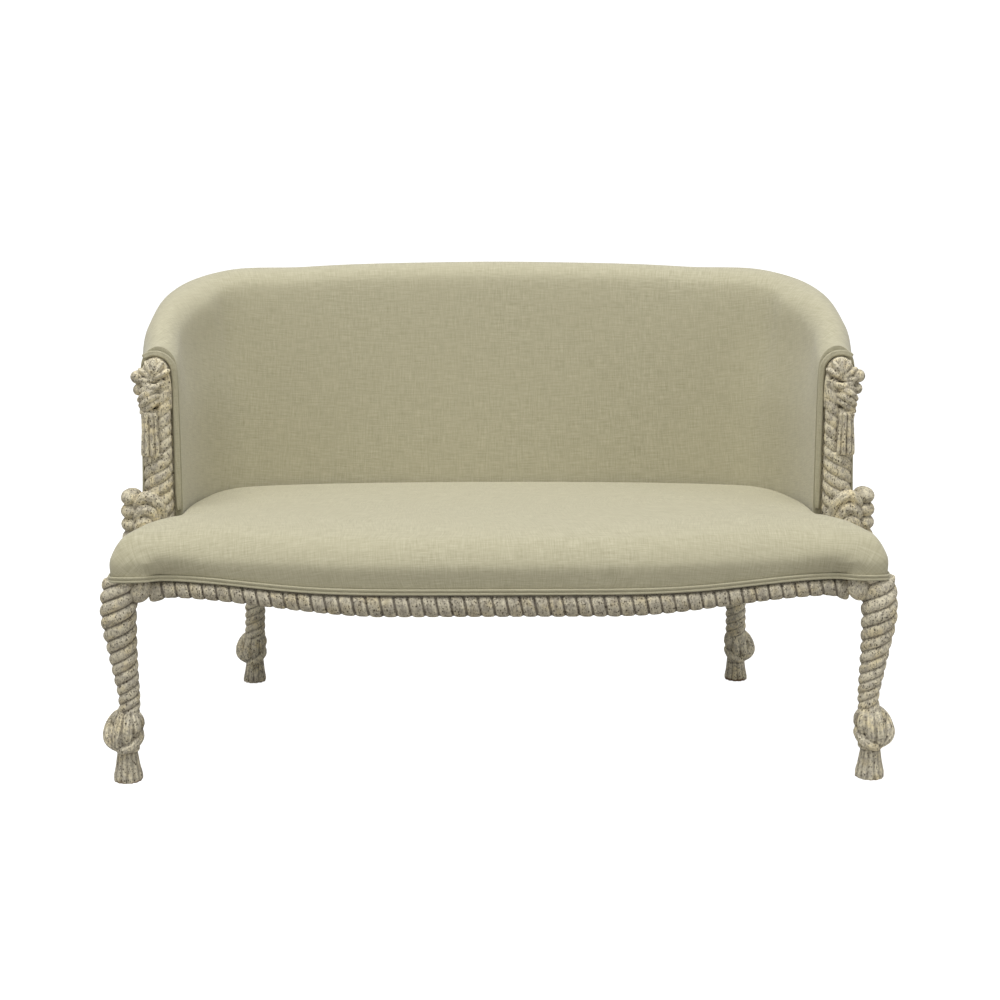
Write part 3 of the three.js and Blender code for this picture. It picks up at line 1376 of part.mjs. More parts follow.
function dustCover() {
  const plan = dustOutline();
  const level = (drop, pull) => plan.map((spot) => {
    const rail = spot.inside ? MOULDING_END_BOTTOM : mouldingHeights(spot.x).foot;
    const height = mix(rail - TOUCH_GAP * 3, DUST_COVER_SAG_HEIGHT, pull) - drop;
    const y = mix(spot.y, SEAT_MIDDLE_BACK, pull);
    return point(spot.x * (1 - pull / 3), y, height);
  });
  return loft([level(0, DUST_SAG_SHARE), level(0, 0), level(DUST_COVER, 0),
    level(DUST_COVER, DUST_SAG_SHARE)]);
}

// Everything in its place.
place("front_rail", frontRail(), materials.paint);
place("back_rail", backRail(), materials.paint);
for (const [side, hand] of HANDS) {
  const front = frontCornerBlock(side);
  const rear = rearCornerBlock(side);
  place(`front_leg_${hand}`, frontLeg(side, front.screws), materials.paint);
  place(`rear_leg_${hand}`, rearLeg(side, rear.screws), materials.paint);
  place(`side_rail_${hand}`, sideRail(side), materials.paint);
  place(`arm_post_${hand}`, armPost(side), materials.paint);
  place(`front_corner_block_${hand}`, cut(front.body, front.screws.map(bore)), materials.wood);
  place(`rear_corner_block_${hand}`, cut(rear.body, rear.screws.map(bore)), materials.wood);
  [...front.screws, ...rear.screws].forEach((screw, index) => {
    const corner = index < screwHeights.length ? "front" : "rear";
    const level = index % screwHeights.length ? "upper" : "lower";
    place(`${corner}_block_screw_${level}_${hand}`, screwBody(screw), materials.steel);
  });
}

const last = wallStations.length;
const frameLeft = wallStations.slice(STATION_COUNTS[0], POST_STATION + 1);
const frameRight = wallStations.slice(last - POST_STATION - 1, last - STATION_COUNTS[0]);
const crestStations = wallStations.slice(POST_STATION, last - POST_STATION);
const stayStations = wallStations.slice(POST_STATION + 1, last - POST_STATION - 1);
const middleStation = wallStations[(last - 1) / 2];
const postFoot = fixed(RAIL_TOP + TOUCH_GAP);
const postTop = (station) => crestFoot(station) - TOUCH_GAP;
const stayFoot = fixed(STAY_FOOT);
const stayTop = fixed(STAY_FOOT + STAY_HEIGHT);

place("crest_rail", wallBand(crestStations, frameInner, frameOuter, crestFoot, frameTop),
  materials.wood);
place("stay_rail", wallBand(stayStations, frameInner, frameOuter, stayFoot, stayTop),
  materials.wood);
for (const [hand, run] of [["left", frameLeft], ["right", frameRight]]) {
  const posts = hand === "left" ? crestStations.slice(0, 2) : crestStations.slice(-2);
  place(`arm_rail_${hand}`, wallBand(run, frameInner, frameOuter, crestFoot, frameTop),
    materials.wood);
  place(`lower_arm_rail_${hand}`, wallBand(run, frameInner, frameOuter, stayFoot, stayTop),
    materials.wood);
  place(`back_post_${hand}`, wallBand(posts, frameInner, frameOuter, postFoot, postTop),
    materials.wood);
}

function backUpright() {
  const foot = STAY_FOOT + STAY_HEIGHT + TOUCH_GAP;
  const half = UPRIGHT_WIDTH / 2;
  const heights = [foot, postTop(middleStation) - TOUCH_GAP * 3];
  const rings = heights.map((height) => {
    const near = wallPoint(middleStation, frameInner(middleStation), height);
    const far = wallPoint(middleStation, frameOuter(middleStation) - TOUCH_GAP, height);
    return [point(-half, near.y, height), point(half, near.y, height), point(half, far.y, height),
      point(-half, far.y, height)];
  });
  return loft(rings);
}

place("back_upright", backUpright(), materials.wood);
STRAP_XS_SHARES.forEach((share, index) => {
  place(`seat_strap_${index + 1}`, longStrap(share * INNER_HALF_WIDTH), materials.jute);
});
CROSS_DEPTH_SHARES.forEach((share, index) => {
  place(`cross_strap_${index + 1}`, crossStrap(share * RAIL_BACK_DEPTH, index), materials.jute);
});
place("seat_burlap", seatBurlap(), materials.burlap);
place("seat_foam", seatFoam(), materials.foam);
place("seat_cover", seatCover(), materials.linen);
place("back_burlap", backBurlap(), materials.burlap);
place("inside_back_foam", wallFoam(), materials.foam);
place("inside_back_cover", insideCover(), materials.linen);
place("outside_back_cover", outsideCover(), materials.linen);
place("seat_welt", seatWelt(), materials.linen);
for (const [side, hand] of HANDS) place(`arm_welt_${hand}`, armWelt(side), materials.linen);
place("dust_cover", dustCover(), materials.cambric);

const root = new THREE.Group();
root.add(settee);
export default root;
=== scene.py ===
# %% [markdown]
# # A rope-carved settee
# The settee has a show frame of carved and painted wood and a tight upholstered body. Its CAD
# solids are loaded first and never move. Fine pieces are then modelled over them, each where its
# solid is, and the hidden frame keeps its solids with a better finish.

# %% Load the frame
import math
from collections import Counter
from contextlib import contextmanager

import bpy
import numpy as np
from mathutils import Euler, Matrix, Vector


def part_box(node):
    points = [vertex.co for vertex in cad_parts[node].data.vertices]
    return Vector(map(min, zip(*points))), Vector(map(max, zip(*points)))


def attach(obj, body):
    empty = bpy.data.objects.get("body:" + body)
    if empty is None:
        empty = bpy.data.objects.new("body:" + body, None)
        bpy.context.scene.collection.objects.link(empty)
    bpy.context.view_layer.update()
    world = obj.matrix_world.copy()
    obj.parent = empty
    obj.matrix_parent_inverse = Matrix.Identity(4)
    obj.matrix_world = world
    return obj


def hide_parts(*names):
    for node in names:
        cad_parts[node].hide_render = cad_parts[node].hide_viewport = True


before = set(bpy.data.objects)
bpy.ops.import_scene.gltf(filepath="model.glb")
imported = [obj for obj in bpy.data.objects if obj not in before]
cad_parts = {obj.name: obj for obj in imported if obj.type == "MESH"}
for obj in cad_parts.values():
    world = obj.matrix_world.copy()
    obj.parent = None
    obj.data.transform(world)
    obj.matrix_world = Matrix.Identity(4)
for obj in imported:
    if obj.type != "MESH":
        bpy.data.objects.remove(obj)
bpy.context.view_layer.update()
MM = 0.001

# %% [markdown]
# The camera stands where the photographer stood: about three metres in front, a metre up, a hand's
# width left of the middle, and tilted down by ten degrees. It comes first, because a shape can only
# be compared with the photograph once both are seen from the same place.

# %% Camera
FRONT_FEET = -292 * MM
EYE = Vector((-42.3 * MM, -2900 * MM + FRONT_FEET, 1020 * MM))
LENS = 61.99
TILT_DOWN = math.radians(10.14)
TURN_RIGHT = math.radians(0.832)

camera_data = bpy.data.cameras.new("camera")
camera_data.lens = LENS
camera_data.sensor_width = 36
camera = bpy.data.objects.new("camera", camera_data)
camera.location = EYE
camera.rotation_euler = (math.pi / 2 - TILT_DOWN, 0, -TURN_RIGHT)
bpy.context.scene.collection.objects.link(camera)
bpy.context.scene.camera = camera
print("camera:", LENS, "mm lens at", [round(v, 2) for v in EYE])

# %% [markdown]
# A product photograph on white is lit by large soft lamps from above and from both sides, in an
# even pale room. Area lamps a couple of metres wide give that light, with soft shadows in the
# carving. The room that the camera sees is brighter than the room that lights the settee, so that
# the background stays white and the colours don't wash out. A Light Path node tells them apart.

# %% Light
def soft_lamp(name, place, aim, size, power):
    data = bpy.data.lights.new(name, "AREA")
    data.shape = "DISK"
    data.size = size
    data.energy = power
    lamp = bpy.data.objects.new(name, data)
    lamp.location = place
    lamp.rotation_euler = (Vector(aim) - Vector(place)).to_track_quat("-Z", "Y").to_euler()
    bpy.context.scene.collection.objects.link(lamp)


soft_lamp("lamp_above", (-0.4, -1.3, 5.6), (0, 0, 0.4), 4.6, 288)
soft_lamp("lamp_left", (-3.2, -2.8, 1.9), (0, 0, 0.5), 2.0, 15)
soft_lamp("lamp_right", (3.4, -2.4, 1.7), (0, 0, 0.5), 2.0, 18)

ROOM_LIGHT = 0.42
ROOM_SEEN = 2.0
world = bpy.data.worlds.new("pale_room")
bpy.context.scene.world = world
world.use_nodes = True
nodes, links = world.node_tree.nodes, world.node_tree.links
room = nodes["Background"]
room.inputs["Color"].default_value = (1, 1, 1, 1)
room.inputs["Strength"].default_value = ROOM_LIGHT
wall = nodes.new("ShaderNodeBackground")
wall.inputs["Strength"].default_value = ROOM_SEEN
seen = nodes.new("ShaderNodeLightPath")
either = nodes.new("ShaderNodeMixShader")
links.new(seen.outputs["Is Camera Ray"], either.inputs[0])
links.new(room.outputs[0], either.inputs[1])
links.new(wall.outputs[0], either.inputs[2])
links.new(either.outputs[0], nodes["World Output"].inputs[0])
bpy.context.scene.view_settings.view_transform = "Standard"

# %% [markdown]
# A finish is a small network of shader nodes. Written out one node at a time it is hard to read, so
# a socket is wrapped in a small class that adds its Math nodes for us: two masks can be multiplied
# like two numbers. Every other node comes from one method.

# %% Shader writing
class Flow:
    """A shader value that is added and multiplied as a number is."""

    def __init__(self, finish, socket):
        self.finish = finish
        self.socket = socket

    def math(self, operation, first, second=0.0):
        return self.finish.node("ShaderNodeMath", {"operation": operation}, {0: first, 1: second})

    def __add__(self, other):
        return self.math("ADD", self, other)

    def __radd__(self, other):
        return self.math("ADD", other, self)

    def __sub__(self, other):
        return self.math("SUBTRACT", self, other)

    def __rsub__(self, other):
        return self.math("SUBTRACT", other, self)

    def __mul__(self, other):
        return self.math("MULTIPLY", self, other)

    def __rmul__(self, other):
        return self.math("MULTIPLY", other, self)


class Finish:
    """A material whose nodes are made by one method."""

    def __init__(self, name, **surface):
        self.material = bpy.data.materials.new(name)
        self.material.use_nodes = True
        self.tree = self.material.node_tree
        self.shader = self.tree.nodes["Principled BSDF"]
        for socket, value in surface.items():
            self.shader.inputs[socket.replace("_", " ")].default_value = value

    def node(self, kind, settings=None, inputs=None, output=0):
        made = self.tree.nodes.new(kind)
        for key, value in (settings or {}).items():
            if key == "stops":
                self.set_stops(made.color_ramp, value)
            else:
                setattr(made, key, value)
        for key, value in (inputs or {}).items():
            self.feed(made.inputs[key], value)
        return Flow(self, made.outputs[output])

    def set_stops(self, ramp, stops):
        while len(ramp.elements) < len(stops):
            ramp.elements.new(1)
        for element, (place, level) in zip(ramp.elements, stops):
            element.position = place
            element.color = (level, level, level, 1)

    def feed(self, socket, value):
        if isinstance(value, Flow):
            self.tree.links.new(value.socket, socket)
        else:
            socket.default_value = value

    def blend(self, share, first, second):
        """The first colour where the share is 0 and the second where it is 1."""
        colours = {0: share, 6: first, 7: second}
        return self.node("ShaderNodeMix", {"data_type": "RGBA"}, colours, output=2)

    def noise(self, place, scale, detail=2.0, roughness=0.5):
        inputs = {"Vector": place, "Scale": scale, "Detail": detail, "Roughness": roughness}
        return self.node("ShaderNodeTexNoise", None, inputs)

    def stretch(self, place, scale):
        return self.node("ShaderNodeMapping", None, {"Vector": place, "Scale": scale})

    def steps(self, value, stops):
        return self.node("ShaderNodeValToRGB", {"stops": stops}, {0: value})

    def coordinates(self):
        return self.node("ShaderNodeTexCoord", output=3)

    def larger(self, first, second):
        return first.math("MAXIMUM", first, second)

    def bump(self, height, depth, strength=1.0):
        inputs = {"Height": height, "Distance": depth, "Strength": strength}
        self.feed(self.shader.inputs["Normal"], self.node("ShaderNodeBump", None, inputs))

    def paint(self, colour, roughness=None):
        self.feed(self.shader.inputs["Base Color"], colour)
        if roughness is not None:
            self.feed(self.shader.inputs["Roughness"], roughness)
        return self.material


def tone(red, green, blue):
    """A colour from its display values, 0 to 255, as the shader needs it."""
    linear = [((c / 255 + 0.055) / 1.055) ** 2.4 for c in (red, green, blue)]
    return (*linear, 1)


# %% [markdown]
# The cover is a washed linen in a greyed sage. Linen is woven from uneven yarn, so it is full of
# slubs: short thick places that run along both directions of the weave. Long faint ones lie among
# many short ones. The piece's own UV map carries the weave, in metres, so that the threads follow
# each panel as cut cloth does.

# %% Linen
LINEN = tone(178, 172, 144)
LINEN_DARK = tone(148, 142, 114)
LINEN_LIGHT = tone(204, 199, 172)
THREAD = 1.3 * MM
SHORT_SLUBS = ((26 * MM, 2 * MM), (2 * MM, 30 * MM))
LONG_SLUBS = ((60 * MM, 5 * MM), (5 * MM, 60 * MM))
CLOUDS_PER_METRE = 5.0


def make_linen(name):
    linen = Finish(name, Roughness=0.92, Sheen_Weight=0.25, Sheen_Roughness=0.6,
                   Specular_IOR_Level=0.2)
    cloth = linen.node("ShaderNodeUVMap", {"uv_map": "UVMap"})
    threads = [
        linen.node("ShaderNodeTexWave", {"bands_direction": way},
                   {"Vector": cloth, "Scale": 1 / THREAD / math.tau * 2, "Distortion": 1.2,
                    "Detail": 1.0, "Detail Scale": 0.4}, output=1)
        for way in ("X", "Y")
    ]
    slubs = [
        linen.noise(linen.stretch(cloth, (1 / across, 1 / along, 1)), 1.0, 3.0, 0.6)
        for across, along in (*SHORT_SLUBS, *LONG_SLUBS)
    ]
    cloud = linen.noise(linen.coordinates(), CLOUDS_PER_METRE, 3.0)
    slub = (slubs[0] + slubs[1]) * 0.38 + (slubs[2] + slubs[3]) * 0.12
    slub = linen.steps(slub, [(0.38, 0), (0.62, 1)])
    worn = linen.steps(cloud, [(0.3, 0), (0.7, 1)])
    colour = linen.blend(slub * 0.6 + 0.16, LINEN_DARK, LINEN_LIGHT)
    colour = linen.blend(0.3 * worn + 0.1, colour, LINEN)
    height = slub * 0.7 + (threads[0] + threads[1]) * 0.2
    linen.bump(height, 0.45 * MM, 0.6)
    return linen.paint(colour)


linen = make_linen("sage_linen")
print("finish:", linen.name)

# %% [markdown]
# The carving has a distressed paint: cream over a darker ground, with worm holes and chipped pits,
# bare brown wood where the feet wear, and a grey wash with painted shade in the hollows. The
# hollows are marked on each piece by the dirt tool, which darkens a colour attribute inside
# corners. All else is noise on Object coordinates, which fits carving that has no flat panels to
# unwrap.

# %% Distressed paint
CREAM = tone(240, 231, 204)
CREAM_WARM = tone(240, 223, 176)
WASH_GREY = tone(167, 160, 149)
HOLLOW_WASH_AND_SHADE = tone(92, 85, 76)
PIT_BROWN = tone(66, 56, 42)
SOLE_BROWN = tone(122, 86, 52)
SOLE_WEAR = 7 * MM
WIDE_HOLES = (5.4 * MM, 0.28)
SMALL_HOLES = (3.2 * MM, 0.26)
HOLE_WANDER = 3 * MM
PIT_DEPTH = 0.9 * MM


def worm_holes(paint, place, spacing, size):
    """Round dots, one to a cell as wide as the spacing, of which about half are left out."""
    cell = paint.node("ShaderNodeTexVoronoi", None, {"Vector": place, "Scale": 1 / spacing})
    kept = paint.steps(paint.noise(place, 0.35 / spacing, 1.0), [(0.42, 0), (0.5, 1)])
    return paint.steps(cell, [(size * 0.6, 1), (size, 0)]) * kept


def wandering(paint, place):
    """The place, shifted a little by noise, so that dots are neither round nor in rows."""
    drift = paint.node("ShaderNodeTexNoise", None, {"Vector": place, "Scale": 160.0}, output=1)
    drift = paint.node("ShaderNodeVectorMath", {"operation": "SCALE"},
                       {0: drift, "Scale": HOLE_WANDER})
    return paint.node("ShaderNodeVectorMath", {"operation": "ADD"},
                      {0: paint.stretch(place, (1, 1, 0.7)), 1: drift})


def worn_sole(paint, place):
    """The share of bare wood: a ragged band at the foot of the leg."""
    height = paint.node("ShaderNodeSeparateXYZ", None, {0: place}, output=2)
    ragged = height * (1 / SOLE_WEAR) + (paint.noise(place, 26.0, 3.0) - 0.5) * 4.0 + 0.35
    return paint.steps(ragged, [(0.25, 1), (0.75, 0)])


def make_paint(name, cream=CREAM, wash=WASH_GREY, hollow_wash_and_shade=True):
    paint = Finish(name, Roughness=0.72, Specular_IOR_Level=0.3)
    place = paint.coordinates()
    patches = paint.noise(place, 95.0, 5.0, 0.62)
    warm = paint.steps(paint.noise(place, 40.0, 3.0), [(0.48, 0), (0.66, 1)])
    colour = paint.blend(warm * 0.6, cream, CREAM_WARM)
    streaks = paint.noise(paint.stretch(place, (1, 1, 0.3)), 330.0, 3.0, 0.6)
    washed = paint.steps(patches * 0.65 + streaks * 0.35, [(0.45, 0), (0.6, 1)])
    colour = paint.blend(washed * 0.7, colour, wash)
    if hollow_wash_and_shade:
        # Inside corners the paint darkens to grey: a grey wash, and painted shade in the hollows.
        hollow = paint.node("ShaderNodeAttribute", {"attribute_name": "Color"}, output=2)
        hollow = paint.steps(hollow, [(0.32, 1), (0.62, 0)])
        colour = paint.blend(hollow * 0.85, colour, HOLLOW_WASH_AND_SHADE)
    moved = wandering(paint, place)
    holes = paint.larger(worm_holes(paint, moved, *WIDE_HOLES),
                         worm_holes(paint, moved, *SMALL_HOLES))
    flaking = paint.noise(paint.stretch(place, (1, 1, 0.45)), 420.0, 3.0, 0.65)
    chips = paint.steps(flaking, [(0.56, 0), (0.65, 1)])
    colour = paint.blend(chips * 0.7, colour, PIT_BROWN)
    colour = paint.blend(holes * 0.85, colour, PIT_BROWN)
    pits = paint.larger(holes, chips * 0.6)
    colour = paint.blend(worn_sole(paint, place) * 0.85, colour, SOLE_BROWN)
    paint.bump((1 - pits) + patches * 0.5, PIT_DEPTH, 0.9)
    return paint.paint(colour, 0.68 + patches * 0.2)


carved_paint = make_paint("distressed_paint")
print("finish:", carved_paint.name)

# %% [markdown]
# Under the cover lie plain materials that are seen only when the settee is taken apart: raw beech,
# jute webbing, burlap, foam and zinc screws. Each keeps its CAD solid and gets a simple finish, and
# the back rail, which shows behind, gets the paint without the grey wash and painted shade in its
# hollows.

# %% Hidden materials
GRAIN = (8, 90, 90)


def make_wood():
    wood = Finish("raw_beech", Roughness=0.7)
    place = wood.coordinates()
    rings = wood.noise(wood.stretch(place, GRAIN), 1.0, 4.0, 0.6)
    colour = wood.blend(wood.steps(rings, [(0.35, 0), (0.65, 1)]), tone(196, 158, 112),
                        tone(168, 126, 82))
    wood.bump(rings, 0.3 * MM, 0.5)
    return wood.paint(colour)


def make_woven(name, light, dark, pitch):
    woven = Finish(name, Roughness=0.95)
    place = woven.coordinates()
    bands = [
        woven.node("ShaderNodeTexWave", {"bands_direction": way},
                   {"Vector": place, "Scale": 1 / pitch / math.tau, "Distortion": 1.5}, output=1)
        for way in ("X", "Y")
    ]
    lattice = (bands[0] + bands[1]) * 0.5
    woven.bump(lattice, 0.4 * MM, 0.8)
    return woven.paint(woven.blend(lattice, dark, light))


def make_foam():
    foam = Finish("foam", Roughness=0.95)
    cells = foam.noise(foam.coordinates(), 900.0, 2.0)
    foam.bump(cells, 0.5 * MM, 0.6)
    return foam.paint(foam.blend(cells, tone(226, 214, 168), tone(240, 232, 200)))


def make_steel():
    steel = Finish("zinc_steel", Metallic=1.0)
    brushed = steel.noise(steel.coordinates(), 700.0, 3.0)
    steel.bump(brushed, 0.05 * MM, 0.5)
    return steel.paint(steel.blend(brushed, tone(160, 160, 158), tone(190, 190, 188)),
                       0.35 + brushed * 0.2)


beech = make_wood()
# A solid whose name holds one of these words gets its finish, and any other is beech.
HIDDEN_FINISH = {
    "strap": make_woven("jute", tone(186, 150, 96), tone(140, 104, 60), 3 * MM),
    "burlap": make_woven("burlap", tone(196, 166, 116), tone(146, 116, 74), 2 * MM),
    "foam": make_foam(),
    "screw": make_steel(),
}
cambric = make_woven("pale_cambric", tone(206, 206, 200), tone(180, 180, 174), 1.2 * MM)


def hidden_finish(name):
    return next((finish for word, finish in HIDDEN_FINISH.items() if word in name), beech)


for name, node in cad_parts.items():
    node.data.materials.clear()
    node.data.materials.append(hidden_finish(name))
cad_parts["back_rail"].data.materials[0] = make_paint("plain_paint", hollow_wash_and_shade=False)
print("finishes:", len(bpy.data.materials))

# %% [markdown]
# The tools of the workshop: select one thing, work on it in edit mode, apply what was added, and
# hand the finished piece over with its finish and the solids it stands for.

# %% Workshop
def pick_only(*pieces):
    for other in bpy.context.selected_objects:
        other.select_set(False)
    for piece in pieces:
        piece.select_set(True)
    bpy.context.view_layer.objects.active = pieces[0]


@contextmanager
def editing(piece):
    pick_only(piece)
    bpy.ops.object.mode_set(mode="EDIT")
    yield
    bpy.ops.object.mode_set(mode="OBJECT")


def modify(piece, kind, **settings):
    pick_only(piece)
    modifier = piece.modifiers.new(kind.lower(), kind)
    for key, value in settings.items():
        setattr(modifier, key, value)
    bpy.ops.object.modifier_apply(modifier=modifier.name)


def fuse(pieces):
    """Joins pieces into the first one and puts its origin at the frame's."""
    pick_only(*pieces)
    bpy.ops.object.transform_apply(location=True, rotation=True, scale=True)
    if len(pieces) > 1:
        bpy.ops.object.join()
    return pieces[0]


def hand_over(piece, name, finish, slot, *nodes):
    pick_only(piece)
    bpy.ops.object.shade_smooth()
    piece.name = name
    piece.data.name = name
    piece.data.materials.clear()
    piece.data.materials.append(finish)
    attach(piece, "root")
    if nodes:
        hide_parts(*nodes)
    print(name, len(piece.data.polygons), "faces")
    return piece


# %% [markdown]
# Tight upholstery follows the frame and padding under it, so its shape is already in the solids,
# only with few faces. A copy of the solid is merged into one sheet and its triangles paired into
# quads. Sharp borders are creased and marked as seams, the sheet is unwrapped, and a subdivision
# surface rounds it as padding does.

# %% Copying a solid
MERGE = 0.02 * MM


def copy_solid(node):
    """A copy of one solid, merged into a sheet of quads."""
    piece = bpy.data.objects.new(node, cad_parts[node].data.copy())
    bpy.context.scene.collection.objects.link(piece)
    with editing(piece):
        bpy.ops.mesh.select_all(action="SELECT")
        bpy.ops.mesh.remove_doubles(threshold=MERGE)
        bpy.ops.mesh.tris_convert_to_quads(face_threshold=math.pi, shape_threshold=math.pi)
    return piece


def sharp_borders(piece, angle, crease):
    """Creases the sharp edges and makes them the seams of the map."""
    with editing(piece):
        bpy.ops.mesh.select_mode(type="EDGE")
        bpy.ops.mesh.select_all(action="DESELECT")
        bpy.ops.mesh.edges_select_sharp(sharpness=angle)
        bpy.ops.mesh.mark_seam(clear=False)
        bpy.ops.transform.edge_crease(value=crease)


def lay_weave(piece):
    """Unwraps a piece and scales its map to metres."""
    with editing(piece):
        bpy.ops.mesh.select_all(action="SELECT")
        bpy.ops.uv.unwrap(method="ANGLE_BASED", margin=0)
    mesh = piece.data
    flat = np.zeros(len(mesh.loops) * 2)
    mesh.uv_layers.active.data.foreach_get("uv", flat)
    flat = flat.reshape(-1, 2)
    mapped = 0.0
    for face in mesh.polygons:
        corners = flat[list(face.loop_indices)]
        following = np.roll(corners, -1, axis=0)
        mapped += abs(np.sum(corners[:, 0] * following[:, 1] - following[:, 0] * corners[:, 1])) / 2
    real = sum(face.area for face in mesh.polygons)
    flat *= math.sqrt(real / mapped)
    mesh.uv_layers.active.data.foreach_set("uv", flat.ravel())
    mesh.uv_layers.active.name = "UVMap"


SHARP = math.radians(62)


def upholster(node, levels, crease=0.75):
    """A solid made into soft upholstery."""
    piece = copy_solid(node)
    sharp_borders(piece, SHARP, crease)
    lay_weave(piece)
    modify(piece, "SUBSURF", levels=levels, render_levels=levels)
    return piece


# %% [markdown]
# The seat cover is a thin solid with two skins. Only the outer skin is kept, and a Solidify
# modifier gives it back its thickness later. The inner skin is known by its faces, which look
# towards the padding.

# %% Outer skin of the seat
SLIVER = 3 * MM
SQUARISH = math.radians(50)
SEAT_HEART = Vector((0.78, 0.72, 0.35))
SEAT_MIDDLE = -0.08
STEP_X = (0.583, 0.6065)
STEP_BACK = -0.262
STEP_TOP = 452 * MM
POST_LINE = FRONT_FEET + 128 * MM
POST_LINE_WIDTH = 4 * MM
POST_LINE_X = 420 * MM


def outward_at(place):
    """Roughly away from the seat's padding. The sheet steps back beside legs and posts."""
    x, y, z = place
    if STEP_X[0] < abs(x) < STEP_X[1] and y < STEP_BACK and z < STEP_TOP:
        return Vector((-math.copysign(1, x), -1, 0.3))
    if abs(y - POST_LINE) < POST_LINE_WIDTH and abs(x) > POST_LINE_X:
        return Vector((math.copysign(0.1, x), 1, 0.15))
    return place - Vector((x * SEAT_HEART.x, SEAT_MIDDLE + (y - SEAT_MIDDLE) * SEAT_HEART.y,
                           SEAT_HEART.z))


def keep_outer_skin(piece):
    bpy.context.tool_settings.mesh_select_mode = (False, False, True)
    for face in piece.data.polygons:
        face.select = face.normal.dot(outward_at(face.center)) < 0
    with editing(piece):
        bpy.ops.mesh.delete(type="FACE")
        bpy.ops.mesh.select_all(action="SELECT")
        bpy.ops.mesh.remove_doubles(threshold=SLIVER)
        bpy.ops.mesh.quads_convert_to_tris(quad_method="SHORTEST_DIAGONAL")
        bpy.ops.mesh.tris_convert_to_quads(face_threshold=SQUARISH, shape_threshold=SQUARISH)


# %% [markdown]
# The seat is stuffed fuller than the frame under it. It stands out over the welt, fills the hollow
# beside each front leg and rises along the arms. Each of these is a soft push on the vertices of
# one region.

# %% Stuffing of the seat
def ease(value):
    """Runs softly from 0 to 1 as the value does."""
    share = min(1, max(0, value))
    return share * share * (3 - 2 * share)


def rise_and_fall(value, low, middle, high):
    return ease((value - low) / (middle - low)) * ease((high - value) / (high - middle))


STEP_FILL = 23 * MM
STEP_FILL_RUN = 115 * MM
STEP_EDGE = STEP_X[1] - 2 * MM
FILL_HEIGHTS = (372 * MM, 410 * MM)
FILL_DEPTH = 70 * MM


def fill_step(piece):
    """Pads the hollow beside each front leg, so that the front runs smoothly past it."""
    low, high = FILL_HEIGHTS
    for vertex in piece.data.vertices:
        x, y, z = vertex.co
        if abs(x) > STEP_EDGE + 1 * MM:
            continue
        near = 1 - ease((STEP_EDGE - abs(x)) / STEP_FILL_RUN)
        raised = ease((z - low) / (high - low))
        behind = 1 - ease((y - FRONT_FEET) / FILL_DEPTH)
        vertex.co.y -= STEP_FILL * near * raised * behind


FLANK_FILL = 10 * MM
FLANK_X = (490 * MM, 575 * MM, 640 * MM)
FLANK_DEPTH = (130 * MM, 175 * MM, 330 * MM)
FLANK_FOOT = 425 * MM
FLANK_RISE = 20 * MM


def fill_flanks(piece):
    """Raises the seat along the arms, where it is stuffed up against them."""
    for vertex in piece.data.vertices:
        x, y, z = vertex.co
        share = (rise_and_fall(abs(x), *FLANK_X) * ease((z - FLANK_FOOT) / FLANK_RISE)
                 * rise_and_fall(y - FRONT_FEET, *FLANK_DEPTH))
        vertex.co.z += FLANK_FILL * share


BULGE = 6 * MM
SIDE_BULGE = 4 * MM
BULGE_HEIGHTS = (358 * MM, 402 * MM, STEP_TOP)
SEAT_BACK = -0.13
SEAT_SIDE = 0.57


def ease_out(piece):
    """Lets the rim of the seat bulge, at the front and along the sides."""
    low, middle, high = BULGE_HEIGHTS
    for vertex in piece.data.vertices:
        x, y, z = vertex.co
        if z < low or z > high or (y > SEAT_BACK and abs(x) < SEAT_SIDE):
            continue
        share = (z - low) / (middle - low) if z < middle else (high - z) / (high - middle)
        out = Vector((vertex.normal.x, vertex.normal.y, 0))
        if out.length > 0.2:
            depth = BULGE if abs(x) < STEP_X[0] else SIDE_BULGE
            vertex.co += out.normalized() * depth * share * share * (3 - 2 * share)


# %% [markdown]
# After the pushes the sheet is smoothed as a hand smooths a cover. The top and the two front
# corners are ironed longer, because folds of the solid would show there, while the borders stay
# where they are sewn.

# %% Seat
COVER_THICKNESS = 2 * MM
IRONING = 40
TOP_FROM = 443 * MM
CORNER_X = (520 * MM, 645 * MM)
CORNER_FOOT = 376 * MM
CORNER_BACK = -0.22


def iron(piece, chosen, iterations):
    """Smooths the chosen places of a sheet and leaves its borders where they are."""
    uses = Counter(key for face in piece.data.polygons for key in face.edge_keys)
    border = {index for key, count in uses.items() if count == 1 for index in key}
    group = piece.vertex_groups.new(name="ironed")
    group.add([vertex.index for vertex in piece.data.vertices
               if chosen(*vertex.co) and vertex.index not in border], 1, "REPLACE")
    modify(piece, "SMOOTH", factor=0.5, iterations=iterations, vertex_group="ironed")
    piece.vertex_groups.remove(piece.vertex_groups["ironed"])


def on_top(x, y, z):
    return z > TOP_FROM


def at_front_corner(x, y, z):
    return CORNER_X[0] < abs(x) < CORNER_X[1] and y < CORNER_BACK and z > CORNER_FOOT


seat = copy_solid("seat_cover")
keep_outer_skin(seat)
sharp_borders(seat, SHARP, 0.5)
lay_weave(seat)
modify(seat, "SUBSURF", levels=2, render_levels=2)
fill_step(seat)
fill_flanks(seat)
ease_out(seat)
modify(seat, "SMOOTH", factor=0.5, iterations=6)
iron(seat, on_top, IRONING)
iron(seat, at_front_corner, IRONING)
modify(seat, "SUBSURF", levels=1, render_levels=1)
modify(seat, "SOLIDIFY", thickness=COVER_THICKNESS, offset=-1)
hand_over(seat, "tight_seat", linen, "linen", "seat_cover", "seat_foam")

# %% [markdown]
# The inside cover runs in one piece over padding on arms and back and turns over the roll on top.
# At the shoulders, where the roll sweeps down from the back to the arms, the padding is fuller.

